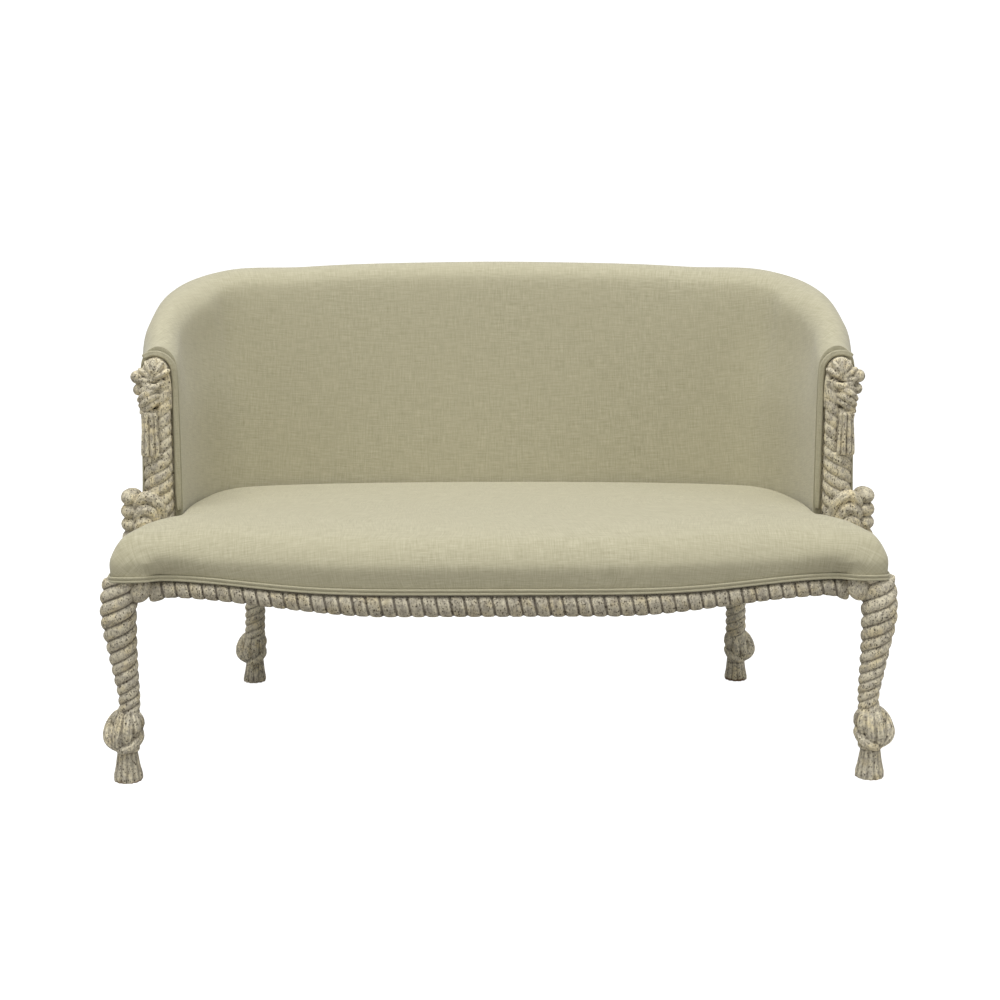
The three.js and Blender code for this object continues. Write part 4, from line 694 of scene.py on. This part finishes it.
# %% Inside of arms and back
FULLNESS = Vector((12 * MM, 0, 9 * MM))
SHOULDER_X = 380 * MM
SHOULDER_Z = 600 * MM
SHOULDER_RUN = 150 * MM
SHOULDER_Q = 175 * MM
SHOULDER_Q_RUN = 120 * MM


def fill_shoulders(piece):
    """Pushes out and up what lies beyond the shoulder's start in all three directions."""
    for vertex in piece.data.vertices:
        x, y, z = vertex.co
        share = (ease((abs(x) - SHOULDER_X) / SHOULDER_RUN)
                 * ease((z - SHOULDER_Z) / SHOULDER_RUN)
                 * ease((y - FRONT_FEET - SHOULDER_Q) / SHOULDER_Q_RUN))
        vertex.co += Vector((math.copysign(FULLNESS.x, x), 0, FULLNESS.z)) * share


inside = upholster("inside_back_cover", 3)
fill_shoulders(inside)
hand_over(inside, "inside_back", linen, "linen", "inside_back_cover", "inside_back_foam")

# %% [markdown]
# The outside of arms and back is one plain panel, stretched over the frame and sewn on under the
# roll. It has nothing under it but the frame, so its solid is near enough and is only rounded. It
# follows the fuller shoulders of the inside cover, or a gap would open under the roll.

# %% Outside of arms and back
outside = upholster("outside_back_cover", 3)
fill_shoulders(outside)
hand_over(outside, "outside_back", linen, "linen", "outside_back_cover")

# %% [markdown]
# A welt is a strip of the cover's own cloth sewn round piping cord. A double welt hides the tacks
# along the rails and round each arm post. Its two cords are in the solid, which is rounded without
# any creased border, because a cord has none.

# %% Welts
for node in ("seat_welt", "arm_welt_left", "arm_welt_right"):
    welt = upholster(node, 2, 0.0)
    hand_over(welt, node + "_cords", linen, "linen", node)

# %% [markdown]
# The dust cover is thin cambric tacked under the rails, which keeps dust from falling out of the
# stuffing. It is flat and is seen only from below, so rounding its edge is all that it needs.

# %% Dust cover
dust = upholster("dust_cover", 2)
hand_over(dust, "dust_sheet", cambric, "dust_cloth", "dust_cover")

# %% [markdown]
# Every carved piece starts as a few simple bodies: ropes, tassels, rings and beads. They are put
# together roughly, fused by a voxel remesh as if cut from one block, and softened by hand as old
# paint is. The dirt tool then marks the hollows for the grey wash and its painted shade.

# %% Carving tools
CHISEL = 1.5 * MM
CARVING_DEPTH = 0.9 * MM
chisel_marks = bpy.data.textures.new("chisel_marks", "CLOUDS")
chisel_marks.noise_scale = 14 * MM
chisel_marks.noise_depth = 3


def carve(pieces, voxel=CHISEL, thinned=1.0, hollow=50):
    """Fuses bodies into one carved piece, thins its flat faces and marks its hollows.

    The hollow angle, in degrees, is that of the darkest hollows. A flat place measures 90.
    """
    piece = fuse(pieces)
    modify(piece, "REMESH", mode="VOXEL", voxel_size=voxel)
    modify(piece, "SMOOTH", factor=0.5, iterations=1)
    modify(piece, "DISPLACE", texture=chisel_marks, strength=CARVING_DEPTH, mid_level=0.5)
    if thinned < 1:
        modify(piece, "DECIMATE", ratio=thinned)
    pick_only(piece)
    ridge = 90 + (90 - hollow) * 0.75
    bpy.ops.paint.vertex_color_dirt(blur_strength=0.6, blur_iterations=2,
                                    clean_angle=math.radians(ridge),
                                    dirt_angle=math.radians(hollow))
    return piece


def strand_ring(radius, strands, depth, points=14):
    """A round section with one bulge for each strand, filled."""
    bpy.ops.mesh.primitive_circle_add(vertices=strands * points, radius=radius, fill_type="NGON")
    ring = bpy.context.object
    for vertex in ring.data.vertices:
        angle = math.atan2(vertex.co.y, vertex.co.x)
        across = (angle * strands / math.tau) % 1 * 2 - 1
        vertex.co *= 1 - depth * (1 - math.sqrt(1 - 0.98 * across * across))
    return ring


def draw_out(ring, limb, heights, spacing, strands, hand):
    """Extrudes a filled ring up a limb, turning it so that the strands climb."""
    with editing(ring):
        bpy.ops.mesh.select_all(action="SELECT")
        x, y, radius = limb(heights[0])
        bpy.ops.transform.translate(value=(x, y, heights[0]))
        for low, high in zip(heights, heights[1:]):
            following = limb(high)
            step = (following[0] - x, following[1] - y, high - low)
            bpy.ops.mesh.extrude_region_move(TRANSFORM_OT_translate={"value": step})
            centre = (following[0], following[1], high)
            angle = hand * math.tau * (high - low) / (strands * spacing(high)) if hand else 0
            bpy.ops.transform.rotate(value=-angle, orient_axis="Z", center_override=centre)
            ratio = following[2] / radius
            bpy.ops.transform.resize(value=(ratio, ratio, 1), center_override=centre)
            x, y, radius = following
    return ring


def steps_between(low, high, step):
    count = max(2, round((high - low) / step))
    return [low + (high - low) * index / count for index in range(count + 1)]


def read_rows(rows, key):
    """Reads a table of rows whose first value is the key, straight between the rows."""
    table = np.array(rows, float)
    return [float(np.interp(key, table[:, 0], column)) for column in table.T[1:]]


# %% [markdown]
# A rope is one ring with a bulge for each strand, extruded up the limb in short steps and turned a
# little at each, as a carver follows a pencil line round the leg. A tassel is the same ring with
# more and shallower bulges, not turned at all.

# %% Ropes and tassels
ROPE_STEP = 2.6 * MM


def rope(limb, low, high, spacing, hand, strands=3, depth=0.27):
    """Strands that wind round a limb. The spacing is from one strand to the next, upwards."""
    ring = strand_ring(limb(low)[2], strands, depth)
    return draw_out(ring, limb, steps_between(low, high, ROPE_STEP), spacing, strands, hand)


def tassel(limb, low, high, threads=13, depth=0.16):
    """Threads that hang straight down along a limb."""
    ring = strand_ring(limb(low)[2], threads, depth, points=6)
    return draw_out(ring, limb, steps_between(low, high, ROPE_STEP * 2), None, threads, 0)


# %% [markdown]
# Knots, heads and coils are built from three more bodies: a ring of rope, a bead that may be fluted
# like a shell, and a cord, which is a ribbed outline swept along a curve through a few places.

# %% Rings, beads and cords
def loop_of_rope(centre, major, minor, turned, cords=5, groove=0.09):
    """A ring of rope whose cords run round it, turned by angles in degrees."""
    bpy.ops.mesh.primitive_torus_add(major_radius=major, minor_radius=minor, major_segments=40,
                                     minor_segments=cords * 6)
    loop = bpy.context.object
    for vertex in loop.data.vertices:
        x, y, z = vertex.co
        reach = max(math.hypot(x, y), 1e-6)
        across = math.atan2(z, reach - major) * cords / math.tau % 1 * 2 - 1
        share = 1 - groove * abs(across) ** 3
        wanted = major + (reach - major) * share
        vertex.co = (x * wanted / reach, y * wanted / reach, z * share)
    loop.rotation_euler = Euler([math.radians(angle) for angle in turned])
    loop.location = centre
    return loop


def bead(centre, radii, turned=(0, 0, 0), flutes=0, groove=0.12):
    """A rounded body of three radii, plain or fluted like a shell."""
    segments = flutes * 6 if flutes else 28
    bpy.ops.mesh.primitive_uv_sphere_add(segments=segments, ring_count=18, radius=1)
    body = bpy.context.object
    if flutes:
        for vertex in body.data.vertices:
            angle = math.atan2(vertex.co.y, vertex.co.x)
            across = abs(angle * flutes / math.tau % 1 * 2 - 1)
            share = 1 - groove * across ** 2
            vertex.co = (vertex.co.x * share, vertex.co.y * share, vertex.co.z)
    body.scale = radii
    body.rotation_euler = Euler([math.radians(angle) for angle in turned])
    body.location = centre
    return body


def ribbed_section(ribs, groove):
    """A closed flat curve: a unit circle with one bulge for each rib."""
    bpy.ops.mesh.primitive_circle_add(vertices=ribs * 6, radius=1, fill_type="NOTHING")
    section = bpy.context.object
    for vertex in section.data.vertices:
        across = math.atan2(vertex.co.y, vertex.co.x) * ribs / math.tau % 1 * 2 - 1
        vertex.co *= 1 - groove * across * across
    pick_only(section)
    bpy.ops.object.convert(target="CURVE")
    return bpy.context.object


def cord(places, radii, section):
    """A section swept along a smooth line through a few places, as a closed mesh."""
    bpy.ops.curve.primitive_bezier_curve_add()
    line = bpy.context.object
    points = line.data.splines[0].bezier_points
    points.add(len(places) - 2)
    for point, place, radius in zip(points, places, radii):
        point.co = place
        point.radius = radius
        point.handle_left_type = "AUTO"
        point.handle_right_type = "AUTO"
    line.location = (0, 0, 0)
    line.data.dimensions = "3D"
    line.data.resolution_u = 9
    line.data.bevel_mode = "OBJECT"
    line.data.bevel_object = section
    line.data.use_fill_caps = True
    pick_only(line)
    bpy.ops.object.convert(target="MESH")
    return bpy.context.object


def block(low, high):
    """A box between two opposite corners."""
    low, high = Vector(low), Vector(high)
    bpy.ops.mesh.primitive_cube_add(size=1, location=(low + high) / 2)
    body = bpy.context.object
    body.scale = [abs(value) for value in high - low]
    return body


# %% [markdown]
# The knot above each foot is an overhand knot pulled tight. Seen from the front it is two upright
# bights side by side, the outer one lower and fuller, and a third turn that crosses below them.
# A knot can't be extruded from one shape, so each turn is a cord of its own, swept along a few
# places and sunk into a rounded heart.

# %% Knot
# Each cord of the knot: places as (outward, forward, up) and radii, in millimetres.
KNOT_CORDS = [
    ([(6, 5, 35), (8, 16, 19), (12, 21, -1), (14, 18, -21), (8, 7, -33)], (8, 11.5, 12, 10.5, 7)),
    ([(-2, 5, 37), (-3, 18, 19), (-2, 23, 1), (1, 19, -17), (2, 9, -31)], (8, 10.5, 11, 10, 7)),
    ([(-6, 7, 36), (-13, 14, 22), (-15, 16, 8), (-12, 13, -6)], (7, 10, 10.5, 8)),
    ([(-6, 10, 33), (-15, 6, 25), (-17, -4, 13), (-14, -13, 1), (-4, -17, -9)],
     (8, 10, 10.5, 10, 8)),
    ([(2, -12, 29), (20, -13, 19), (31, -4, -1), (30, 8, -15), (16, 15, -27), (2, 13, -33)],
     (9, 12, 13.5, 13, 10, 7)),
    ([(2, 3, 37), (13, 3, 28), (19, 0, 17), (16, -8, 5)], (7, 9, 10, 8)),
    ([(-2, -17, -1), (-13, -10, -9), (-16, 4, -14), (-10, 18, -23), (0, 23, -29), (11, 18, -33),
      (14, 7, -35)], (9, 11, 11.5, 10.5, 9, 8, 6)),
]
KNOT_RIBS = 9
KNOT_HEART = (20, 19, 33)
COLLAR_DROP = Vector((0, 0, 34))
COLLAR_RADII = (12, 7)
knot_section = ribbed_section(KNOT_RIBS, 0.13)


def knot(centre, size, side):
    """The bodies of one knot: its cords, the collar that ties the tassel, and its heart."""
    heart = Vector(centre)
    cords = []
    for places, radii in KNOT_CORDS:
        spots = [heart + Vector((side * out, -forward, up)) * size * MM
                 for out, forward, up in places]
        cords.append(cord(spots, [radius * size * MM for radius in radii], knot_section))
    major, minor = (radius * size * MM for radius in COLLAR_RADII)
    collar = loop_of_rope(heart - COLLAR_DROP * size * MM, major, minor, (0, 0, 0))
    return [*cords, collar, bead(heart, [radius * size * MM for radius in KNOT_HEART])]


# %% [markdown]
# The front leg is a cabriole leg drawn as a rope: out at the knee, in at the ankle, with the
# strands climbing to the right on both legs. It stands on a tassel that flares to the floor. Leg
# and corner block are cut from one piece, so the block and its rounded bracket are fused with it.

# %% Front legs
RAIL_TOP = 392
FRONT_FOOT = (655 * MM, FRONT_FEET + 12 * MM)
# Each row of the rope: height, places outward and back from the foot, and radius, in millimetres.
FRONT_ROPE_ROWS = [
    (112, -3.5, 6, 20.5), (140, -7, 5.5, 19), (154, -7, 5, 19.5), (204, -2, 3, 23.5),
    (239, 1, 1, 26.5), (267, 3.5, 0, 29.5), (300, 4.5, -4, 32), (336, 2, -2, 33),
    (366, -3.5, 0, 33),
]
ROPE_FORWARD = 6
ANKLE = FRONT_ROPE_ROWS[0][0]
KNEE = FRONT_ROPE_ROWS[-1][0]
ANKLE_SPACING = 15
SPACING_GAIN = 9
SPACING_RUN = 180
# Each row of the tassel: height and radius.
FRONT_TASSEL_ROWS = [(0, 25.2), (9, 25.6), (30, 21), (53, 17.6), (74, 16)]
KNOT_HEIGHT = 93 * MM


def front_leg(side):
    def limb(height):
        out, back, radius = read_rows(FRONT_ROPE_ROWS, height / MM)
        return (side * (FRONT_FOOT[0] + out * MM), FRONT_FOOT[1] + (back - ROPE_FORWARD) * MM,
                radius * MM)

    def foot(height):
        (radius,) = read_rows(FRONT_TASSEL_ROWS, height / MM)
        return (side * FRONT_FOOT[0], FRONT_FOOT[1], radius * MM)

    def spacing(height):
        climbed = min(1, (height / MM - ANKLE) / SPACING_RUN)
        return (ANKLE_SPACING + SPACING_GAIN * climbed) * MM

    x, y, _ = limb(KNOT_HEIGHT)
    low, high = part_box("front_leg_" + ("right" if side > 0 else "left"))
    inner = low.x if side > 0 else high.x
    corner_block = block((inner, FRONT_FEET - 17 * MM, 349 * MM),
                         (inner + side * 58 * MM, FRONT_FEET + 42 * MM, RAIL_TOP * MM))
    bracket = bead((inner + side * 16 * MM, FRONT_FEET - 2 * MM, 348 * MM),
                   (21 * MM, 19 * MM, 25 * MM), (0, -side * 18, 0))
    return carve([
        rope(limb, ANKLE * MM, KNEE * MM, spacing, 1),
        tassel(foot, 0, 74 * MM),
        *knot((x, y, KNOT_HEIGHT), 1.0, side),
        corner_block,
        bracket,
    ])


for side, hand in ((-1, "left"), (1, "right")):
    hand_over(front_leg(side), "carved_front_leg_" + hand, carved_paint, "painted_wood",
              "front_leg_" + hand)

# %% [markdown]
# The rear leg is slimmer and straighter. It leans back and outward from the rail to the floor, and
# its rope keeps one radius. Its knot and tassel are those of the front leg, a little smaller.

# %% Rear legs
RAIL_FOOT = 331.5
REAR_FOOT = (511 * MM, FRONT_FEET + 636 * MM)
REAR_TOP = (495 * MM, FRONT_FEET + 574 * MM)
REAR_ROPE_RADIUS = 21.5 * MM
REAR_SPACING = 17 * MM
REAR_BEND = 1.3
REAR_KNOT_HEIGHT = 80 * MM
REAR_TASSEL_ROWS = [(0, 23.5), (7, 24), (26, 20.5), (46, 18.4), (64, 17)]


def rear_leg(side):
    def limb(height):
        share = min(1, height / (RAIL_FOOT * MM))
        eased = 1 - (1 - share) ** REAR_BEND
        place = [low + (high - low) * eased for low, high in zip(REAR_FOOT, REAR_TOP)]
        return (side * place[0], place[1], REAR_ROPE_RADIUS)

    def foot(height):
        (radius,) = read_rows(REAR_TASSEL_ROWS, height / MM)
        return (*limb(height)[:2], radius * MM)

    x, y, _ = limb(REAR_KNOT_HEIGHT)
    corner_block = block((side * 467 * MM, REAR_TOP[1] - 28 * MM, RAIL_FOOT * MM),
                         (side * 523 * MM, FRONT_FEET + 590 * MM, RAIL_TOP * MM))
    return carve([
        rope(limb, 100 * MM, 345 * MM, lambda height: REAR_SPACING, 1),
        tassel(foot, 0, 64 * MM, 12),
        *knot((x, y, REAR_KNOT_HEIGHT), 0.9, side),
        corner_block,
    ])


for side, hand in ((-1, "left"), (1, "right")):
    hand_over(rear_leg(side), "carved_rear_leg_" + hand, carved_paint, "painted_wood",
              "rear_leg_" + hand)

# %% [markdown]
# The arm post is carved as one rope that rises from a coiled foot. Half way up a tassel hangs over
# its outer half from a small knot, and the rope gathers into a fluted head with a turned-out end.
# The knot, the folds of the neck and the coils at the foot are cords, listed here by the places
# they pass through.

# %% Cords of the arm posts
# Each cord of a post: places as (outward, back, up) and radii, in millimetres.
POST_CORDS = [
    ([(588, 164, 640), (588, 160, 664), (589, 158, 690), (592, 158, 708)], (5, 6, 6, 5)),
    ([(596, 154, 690), (603, 147, 682), (614, 144, 680), (626, 147, 683), (633, 154, 690)],
     (5, 5.5, 6, 5.5, 5)),
    ([(638, 156, 667), (628, 147, 676), (616, 146, 679), (606, 154, 678)], (5, 6, 6, 5)),
    ([(640, 156, 655), (630, 143, 664), (619, 142, 671), (608, 152, 674)], (5, 6.5, 6.5, 5)),
    ([(638, 156, 645), (627, 142, 653), (616, 142, 661), (605, 152, 665)], (5, 6.5, 6.5, 5)),
    ([(636, 156, 638), (624, 145, 642), (613, 145, 650), (604, 154, 656)], (5, 6, 6, 5)),
    ([(638, 152, 635), (624, 147, 634), (610, 152, 636)], (4.5, 5, 4.5)),
    ([(649, 152, 455), (643, 142, 474), (629, 138, 483), (614, 141, 474), (605, 148, 452),
      (603, 152, 425)], (9, 11, 11.5, 11.5, 11, 10)),
    ([(649, 150, 433), (643, 139, 452), (630, 135, 460), (618, 138, 449), (611, 144, 425)],
     (8, 11, 11.5, 11, 10)),
    ([(650, 150, 410), (643, 138, 430), (631, 134, 438), (621, 137, 427), (616, 143, 402)],
     (8, 11, 11.5, 11, 10)),
]
print(len(POST_CORDS), "cords for each arm post")

# %% [markdown]
# The front of the post is this carving, squashed a little from front to back. Behind it a plain
# stile with a round top carries the arm's cover and its welt. All is fused on a finer grid than the
# legs. Hollows measure shallower there, so the dirt tool is told to mark them sooner.

# %% Arm posts
POST_X = 611.5 * MM
POST_Y = FRONT_FEET + 163 * MM
POST_SQUASH = 0.86
POST_VOXEL = 1.35 * MM
POST_HOLLOW = 66
STILE_Q = (172, 204)
STILE_TOP = 704.5
# Each row of the tassel: height and radius.
POST_TASSEL_ROWS = [(559, 17.2), (564, 17.6), (600, 15.5), (622, 14), (626, 16), (631, 16),
                    (634, 13)]
# The petals of the fluted head by their angles, and the coils at the outer side of the foot by
# their heights and how far they reach out.
PETALS = (2, 33, 63, 92, 121, 151)
COILS = ((480, 19), (455.5, 20), (431.5, 20), (407.5, 19), (389.5, 17))


def arm_post(side):
    def at(x, q, z):
        return (side * x * MM, FRONT_FEET + q * MM, z * MM)

    def lower(height):
        return (side * POST_X, POST_Y, 26 * MM)

    def upper(height):
        return (side * (POST_X - 13 * MM), POST_Y - 5 * MM, 13.6 * MM)

    def hanging(height):
        (radius,) = read_rows(POST_TASSEL_ROWS, height / MM)
        return (side * (POST_X + 9.5 * MM), POST_Y - 18 * MM, radius * MM)

    ropes = [
        rope(lower, 388 * MM, 560 * MM, lambda height: 22 * MM, -side),
        rope(upper, 552 * MM, 690 * MM, lambda height: 21.5 * MM, -side, 2, 0.3),
        tassel(hanging, 557 * MM, 634 * MM, 8, 0.55),
    ]
    for body in ropes:
        pick_only(body)
        bpy.ops.transform.resize(value=(1, POST_SQUASH, 1), center_override=(0, POST_Y, 0))
    front, back = STILE_Q
    stile = block(at(585, front, RAIL_TOP), at(638, back, STILE_TOP))
    bpy.ops.mesh.primitive_cylinder_add(vertices=48, radius=26.5 * MM, depth=(back - front) * MM,
                                        rotation=(math.pi / 2, 0, 0),
                                        location=at(611.5, (front + back) / 2, STILE_TOP))
    dome = bpy.context.object
    lap = block(at(585, front, 350), at(621.7, back, 410))
    head = bead(at(611.5, 169, 702), (25 * MM, 20 * MM, 29 * MM))
    petals = []
    for angle in PETALS:
        turn = math.radians(angle)
        place = at(612 + 14 * math.cos(turn), 155, 691 + 20 * math.sin(turn))
        petals.append(bead(place, (19 * MM, 12.5 * MM, 6.6 * MM), (0, -side * angle, 0)))
    knobs = [
        bead(at(641, 156, 697), (12.5 * MM, 12 * MM, 13 * MM), (0, side * 90, 0), 7, 0.12),
        bead(at(641.5, 158, 674), (9 * MM, 10 * MM, 10 * MM)),
        bead(at(634, 162, 686), (9 * MM, 10 * MM, 16 * MM)),
    ]
    neck = bead(at(623, 162, 657), (15 * MM, 17 * MM, 19 * MM))
    parts = [*ropes, stile, dome, lap, head, *petals, *knobs, neck]
    for places, radii in POST_CORDS:
        parts.append(cord([at(*place) for place in places], [radius * MM for radius in radii],
                          knot_section))
    for height, reach in COILS:
        parts.append(bead(at(661, 163, height), (reach * MM, 29 * MM, 15.6 * MM),
                          (0, side * 4, 0)))
    return carve(parts, POST_VOXEL, hollow=POST_HOLLOW)


# The posts get a copy of the carved paint whose cream and wash are darker: painted shade over the
# whole post.
post_paint = make_paint("post_paint_darkened_for_shade", tone(218, 209, 182), tone(148, 141, 131))
for side, hand in ((-1, "left"), (1, "right")):
    hand_over(arm_post(side), "carved_arm_post_" + hand, post_paint, "painted_wood",
              "arm_post_" + hand)
bpy.data.objects.remove(knot_section)

# %% [markdown]
# The rope moulding under the seat is the same short band again and again. One band is shaped on a
# cylinder, repeated by an Array modifier and laid along the rail's line, bowed in front and bent
# round the corners at the sides. A plain slab behind it carries the tacks of the cover.

# %% Rope moulding
BAND = 23.7 * MM
BAND_ROUND = 20
BAND_CUTS = 7
BAND_GROOVE = 0.36


def straight_moulding(bands):
    """A bar of unit width whose x runs from 0 to the number of bands."""
    bpy.ops.mesh.primitive_cylinder_add(vertices=BAND_ROUND, radius=1, depth=1,
                                        end_fill_type="NOTHING", rotation=(0, math.pi / 2, 0))
    bar = bpy.context.object
    pick_only(bar)
    bpy.ops.object.transform_apply(location=True, rotation=True, scale=True)
    with editing(bar):
        bpy.ops.mesh.select_mode(type="EDGE")
        bpy.ops.mesh.select_all(action="DESELECT")
    for edge in bar.data.edges:
        ends = [bar.data.vertices[index].co for index in edge.vertices]
        edge.select = abs(ends[0].x - ends[1].x) > 0.5
    with editing(bar):
        bpy.ops.mesh.subdivide(number_cuts=BAND_CUTS)
    for vertex in bar.data.vertices:
        share = 1 - BAND_GROOVE * abs(2 * vertex.co.x) ** 5
        vertex.co = (vertex.co.x + 0.5, vertex.co.y * share, vertex.co.z * (1 + share) / 2)
    modify(bar, "ARRAY", count=bands, relative_offset_displace=(1, 0, 0), use_merge_vertices=True,
           merge_threshold=0.001)
    return bar


def close_ends(piece):
    """Fills the open ends of a tube."""
    with editing(piece):
        bpy.ops.mesh.select_all(action="SELECT")
        bpy.ops.mesh.region_to_loop()
        bpy.ops.mesh.edge_face_add()
        bpy.ops.mesh.select_all(action="SELECT")
        bpy.ops.mesh.normals_make_consistent(inside=False)


def slab(cuts):
    """A unit slab: x from 0 to 1 in many cuts, y from -1 to 0 and z from 0 to 1."""
    bpy.ops.mesh.primitive_cube_add(size=1, location=(0.5, -0.5, 0.5))
    body = bpy.context.object
    pick_only(body)
    bpy.ops.object.transform_apply(location=True, rotation=True, scale=True)
    for edge in body.data.edges:
        ends = [body.data.vertices[index].co for index in edge.vertices]
        edge.select = abs(ends[0].x - ends[1].x) > 0.5
    for vertex in body.data.vertices:
        vertex.select = False
    with editing(body):
        bpy.ops.mesh.select_mode(type="EDGE")
        bpy.ops.mesh.subdivide(number_cuts=cuts)
    return body


# %% [markdown]
# Moulding and slab are laid along a line that gives, for each share of the rail's length, where the
# rail runs, which way is outward and how high its moulding stands. The front rail bows forward in
# the middle, where its moulding hangs lower, and flares down again to meet the legs. The bands lean
# like the turns of a rope, except at the two ends, which stay square.

# %% Front rail
LEG_EDGE = 604.7
RAIL_FRONT = 2
BOW_DEPTH = 67
BOW_DROP = 20.5
BOW_RUN = 420
FLARE_DROP = 9
FLARE_RUN = 40
MOULDING_TOP = 362
TOP_DROP = 13
TOP_RUN = 300
BAND_LEAN = math.tan(math.radians(12))


def front_line(share):
    """Place, outward direction and moulding heights on the front rail, in millimetres."""
    x = -LEG_EDGE + 2 * LEG_EDGE * share
    inward = LEG_EDGE - abs(x)
    bow = ease(inward / BOW_RUN)
    flare = FLARE_DROP * (1 - ease(inward / FLARE_RUN))
    foot = RAIL_FOOT - BOW_DROP * bow - flare
    top = MOULDING_TOP - TOP_DROP * ease(inward / TOP_RUN)
    return Vector((x, RAIL_FRONT - BOW_DEPTH * bow)), Vector((0, -1)), foot, top


MOULDING_SUNK = -2.5
MOULDING_THICKNESS = 13.5


def lay_moulding(bar, line, bands, lean):
    """Lays a straight moulding along a line. The lean is sideways per unit of height."""
    for vertex in bar.data.vertices:
        share = vertex.co.x / bands
        _, _, foot, top = line(share)
        half = (top - foot) / 2
        along = share - lean * vertex.co.z * half / (bands * BAND / MM)
        near_end = min(1, min(share, 1 - share) * bands)
        share += (along - share) * near_end
        place, outward, foot, top = line(min(1, max(0, share)))
        spot = place + outward * (MOULDING_SUNK + MOULDING_THICKNESS * vertex.co.y)
        height = (foot + top) / 2 + vertex.co.z * half
        vertex.co = (spot.x * MM, spot.y * MM + FRONT_FEET, height * MM)


RAIL_THICKNESS = 28
SLAB_LIFT = 3
LOW_DROP = 24
LOW_FROM = 430
LOW_RUN = 60
LOW_X = 480


def lay_slab(body, line):
    """Lays a slab behind the moulding. At the rear corners it is lower, to stay under the seat."""
    for vertex in body.data.vertices:
        place, outward, foot, _ = line(vertex.co.x)
        spot = place + outward * (vertex.co.y * RAIL_THICKNESS)
        lowered = 0
        if abs(place.x) > LOW_X:
            lowered = LOW_DROP * ease((abs(place.y) - LOW_FROM) / LOW_RUN)
        height = foot + SLAB_LIFT + vertex.co.z * (RAIL_TOP - lowered - foot - SLAB_LIFT)
        vertex.co = (spot.x * MM, spot.y * MM + FRONT_FEET, height * MM)


def moulded_rail(line, bands, lean, name):
    bar = straight_moulding(bands)
    for vertex in bar.data.vertices:
        vertex.co.y = -vertex.co.y
    lay_moulding(bar, line, bands, lean)
    close_ends(bar)
    body = slab(bands * 2)
    lay_slab(body, line)
    with editing(body):
        bpy.ops.mesh.select_all(action="SELECT")
        bpy.ops.mesh.normals_make_consistent(inside=False)
    carved = carve([bar, body], 1.5 * MM, thinned=0.55)
    return hand_over(carved, "carved_" + name, carved_paint, "painted_wood", name)


moulded_rail(front_line, 51, BAND_LEAN, "front_rail")

# %% [markdown]
# Each side rail carries the same moulding from the front leg straight back and round the corner to
# the rear leg. The corner is a quarter of a superellipse, which turns tighter than a circle. It is
# walked in small steps, so that a share of the whole length gives a place, and the rail gets as
# many bands as fit.

# %% Side rails
SIDE_X = 650
BACK_Q = 602
CORNER_START = 200
CORNER_POWER = 5
SIDE_FRONT_Q = 42.3
SIDE_END_X = 523.3
SIDE_LEAN = 0.1
WALK_STEPS = 400
LOOK_ROUND = 8


def side_walk():
    """Points along the right side rail, from the front leg round to the rear leg."""
    spots = [Vector((SIDE_X, SIDE_FRONT_Q)), Vector((SIDE_X, CORNER_START))]
    for index in range(1, WALK_STEPS):
        angle = math.pi / 2 * index / WALK_STEPS
        x = SIDE_X * math.cos(angle) ** (2 / CORNER_POWER)
        depth = (BACK_Q - CORNER_START) * math.sin(angle) ** (2 / CORNER_POWER)
        spots.append(Vector((x, CORNER_START + depth)))
        if x < SIDE_END_X:
            break
    lengths = [0.0]
    for here, there in zip(spots, spots[1:]):
        lengths.append(lengths[-1] + (there - here).length)
    return np.array(lengths), np.array([[spot.x, spot.y] for spot in spots])


WALK_LENGTHS, WALK_SPOTS = side_walk()


def spot_at(length):
    """The place after a length of the walk. Lengths beyond the ends give the ends."""
    return Vector([float(np.interp(length, WALK_LENGTHS, axis)) for axis in WALK_SPOTS.T])


def side_line(side):
    def line(share):
        length = share * WALK_LENGTHS[-1]
        spot = spot_at(length)
        forward = spot_at(length + LOOK_ROUND) - spot_at(length - LOOK_ROUND)
        forward.normalize()
        outward = Vector((side * forward.y, -forward.x))
        return Vector((side * spot.x, spot.y)), outward, RAIL_FOOT, MOULDING_TOP

    return line


side_bands = round(WALK_LENGTHS[-1] * MM / BAND)
for side, hand in ((-1, "left"), (1, "right")):
    moulded_rail(side_line(side), side_bands, SIDE_LEAN, "side_rail_" + hand)

# %% [markdown]
# The sofa stands on a pale floor that runs into the backdrop. What the camera sees of it glows
# evenly, as an overexposed studio floor does. Light that falls on it meets a duller floor instead,
# or it would light the sofa from below. The Light Path node tells the two apart.

# %% Floor
bpy.ops.mesh.primitive_circle_add(vertices=64, radius=30, fill_type="NGON")
floor = bpy.context.object
floor.name = "floor"
ground = Finish("pale_floor", Roughness=0.9, Emission_Strength=1.0)
ground.shader.inputs["Emission Color"].default_value = (1, 1, 1, 1)
speckle = ground.noise(ground.coordinates(), 3.0, 2.0)
ground.paint(ground.blend(speckle, tone(134, 134, 134), tone(138, 138, 137)))
dull = ground.node("ShaderNodeBsdfDiffuse", None, {"Color": tone(178, 176, 172)})
lit = ground.node("ShaderNodeMixShader", None, {
    0: ground.node("ShaderNodeLightPath"), 1: dull, 2: Flow(ground, ground.shader.outputs[0])})
ground.feed(ground.tree.nodes["Material Output"].inputs[0], lit)
floor.data.materials.append(ground.material)
print("floor laid")

# %% [markdown]
# A small helper gives the corners of a box, each rounded to four places.

# %% Sizes and finish
def corners(box):
    return [[round(value, 4) for value in corner] for corner in box]
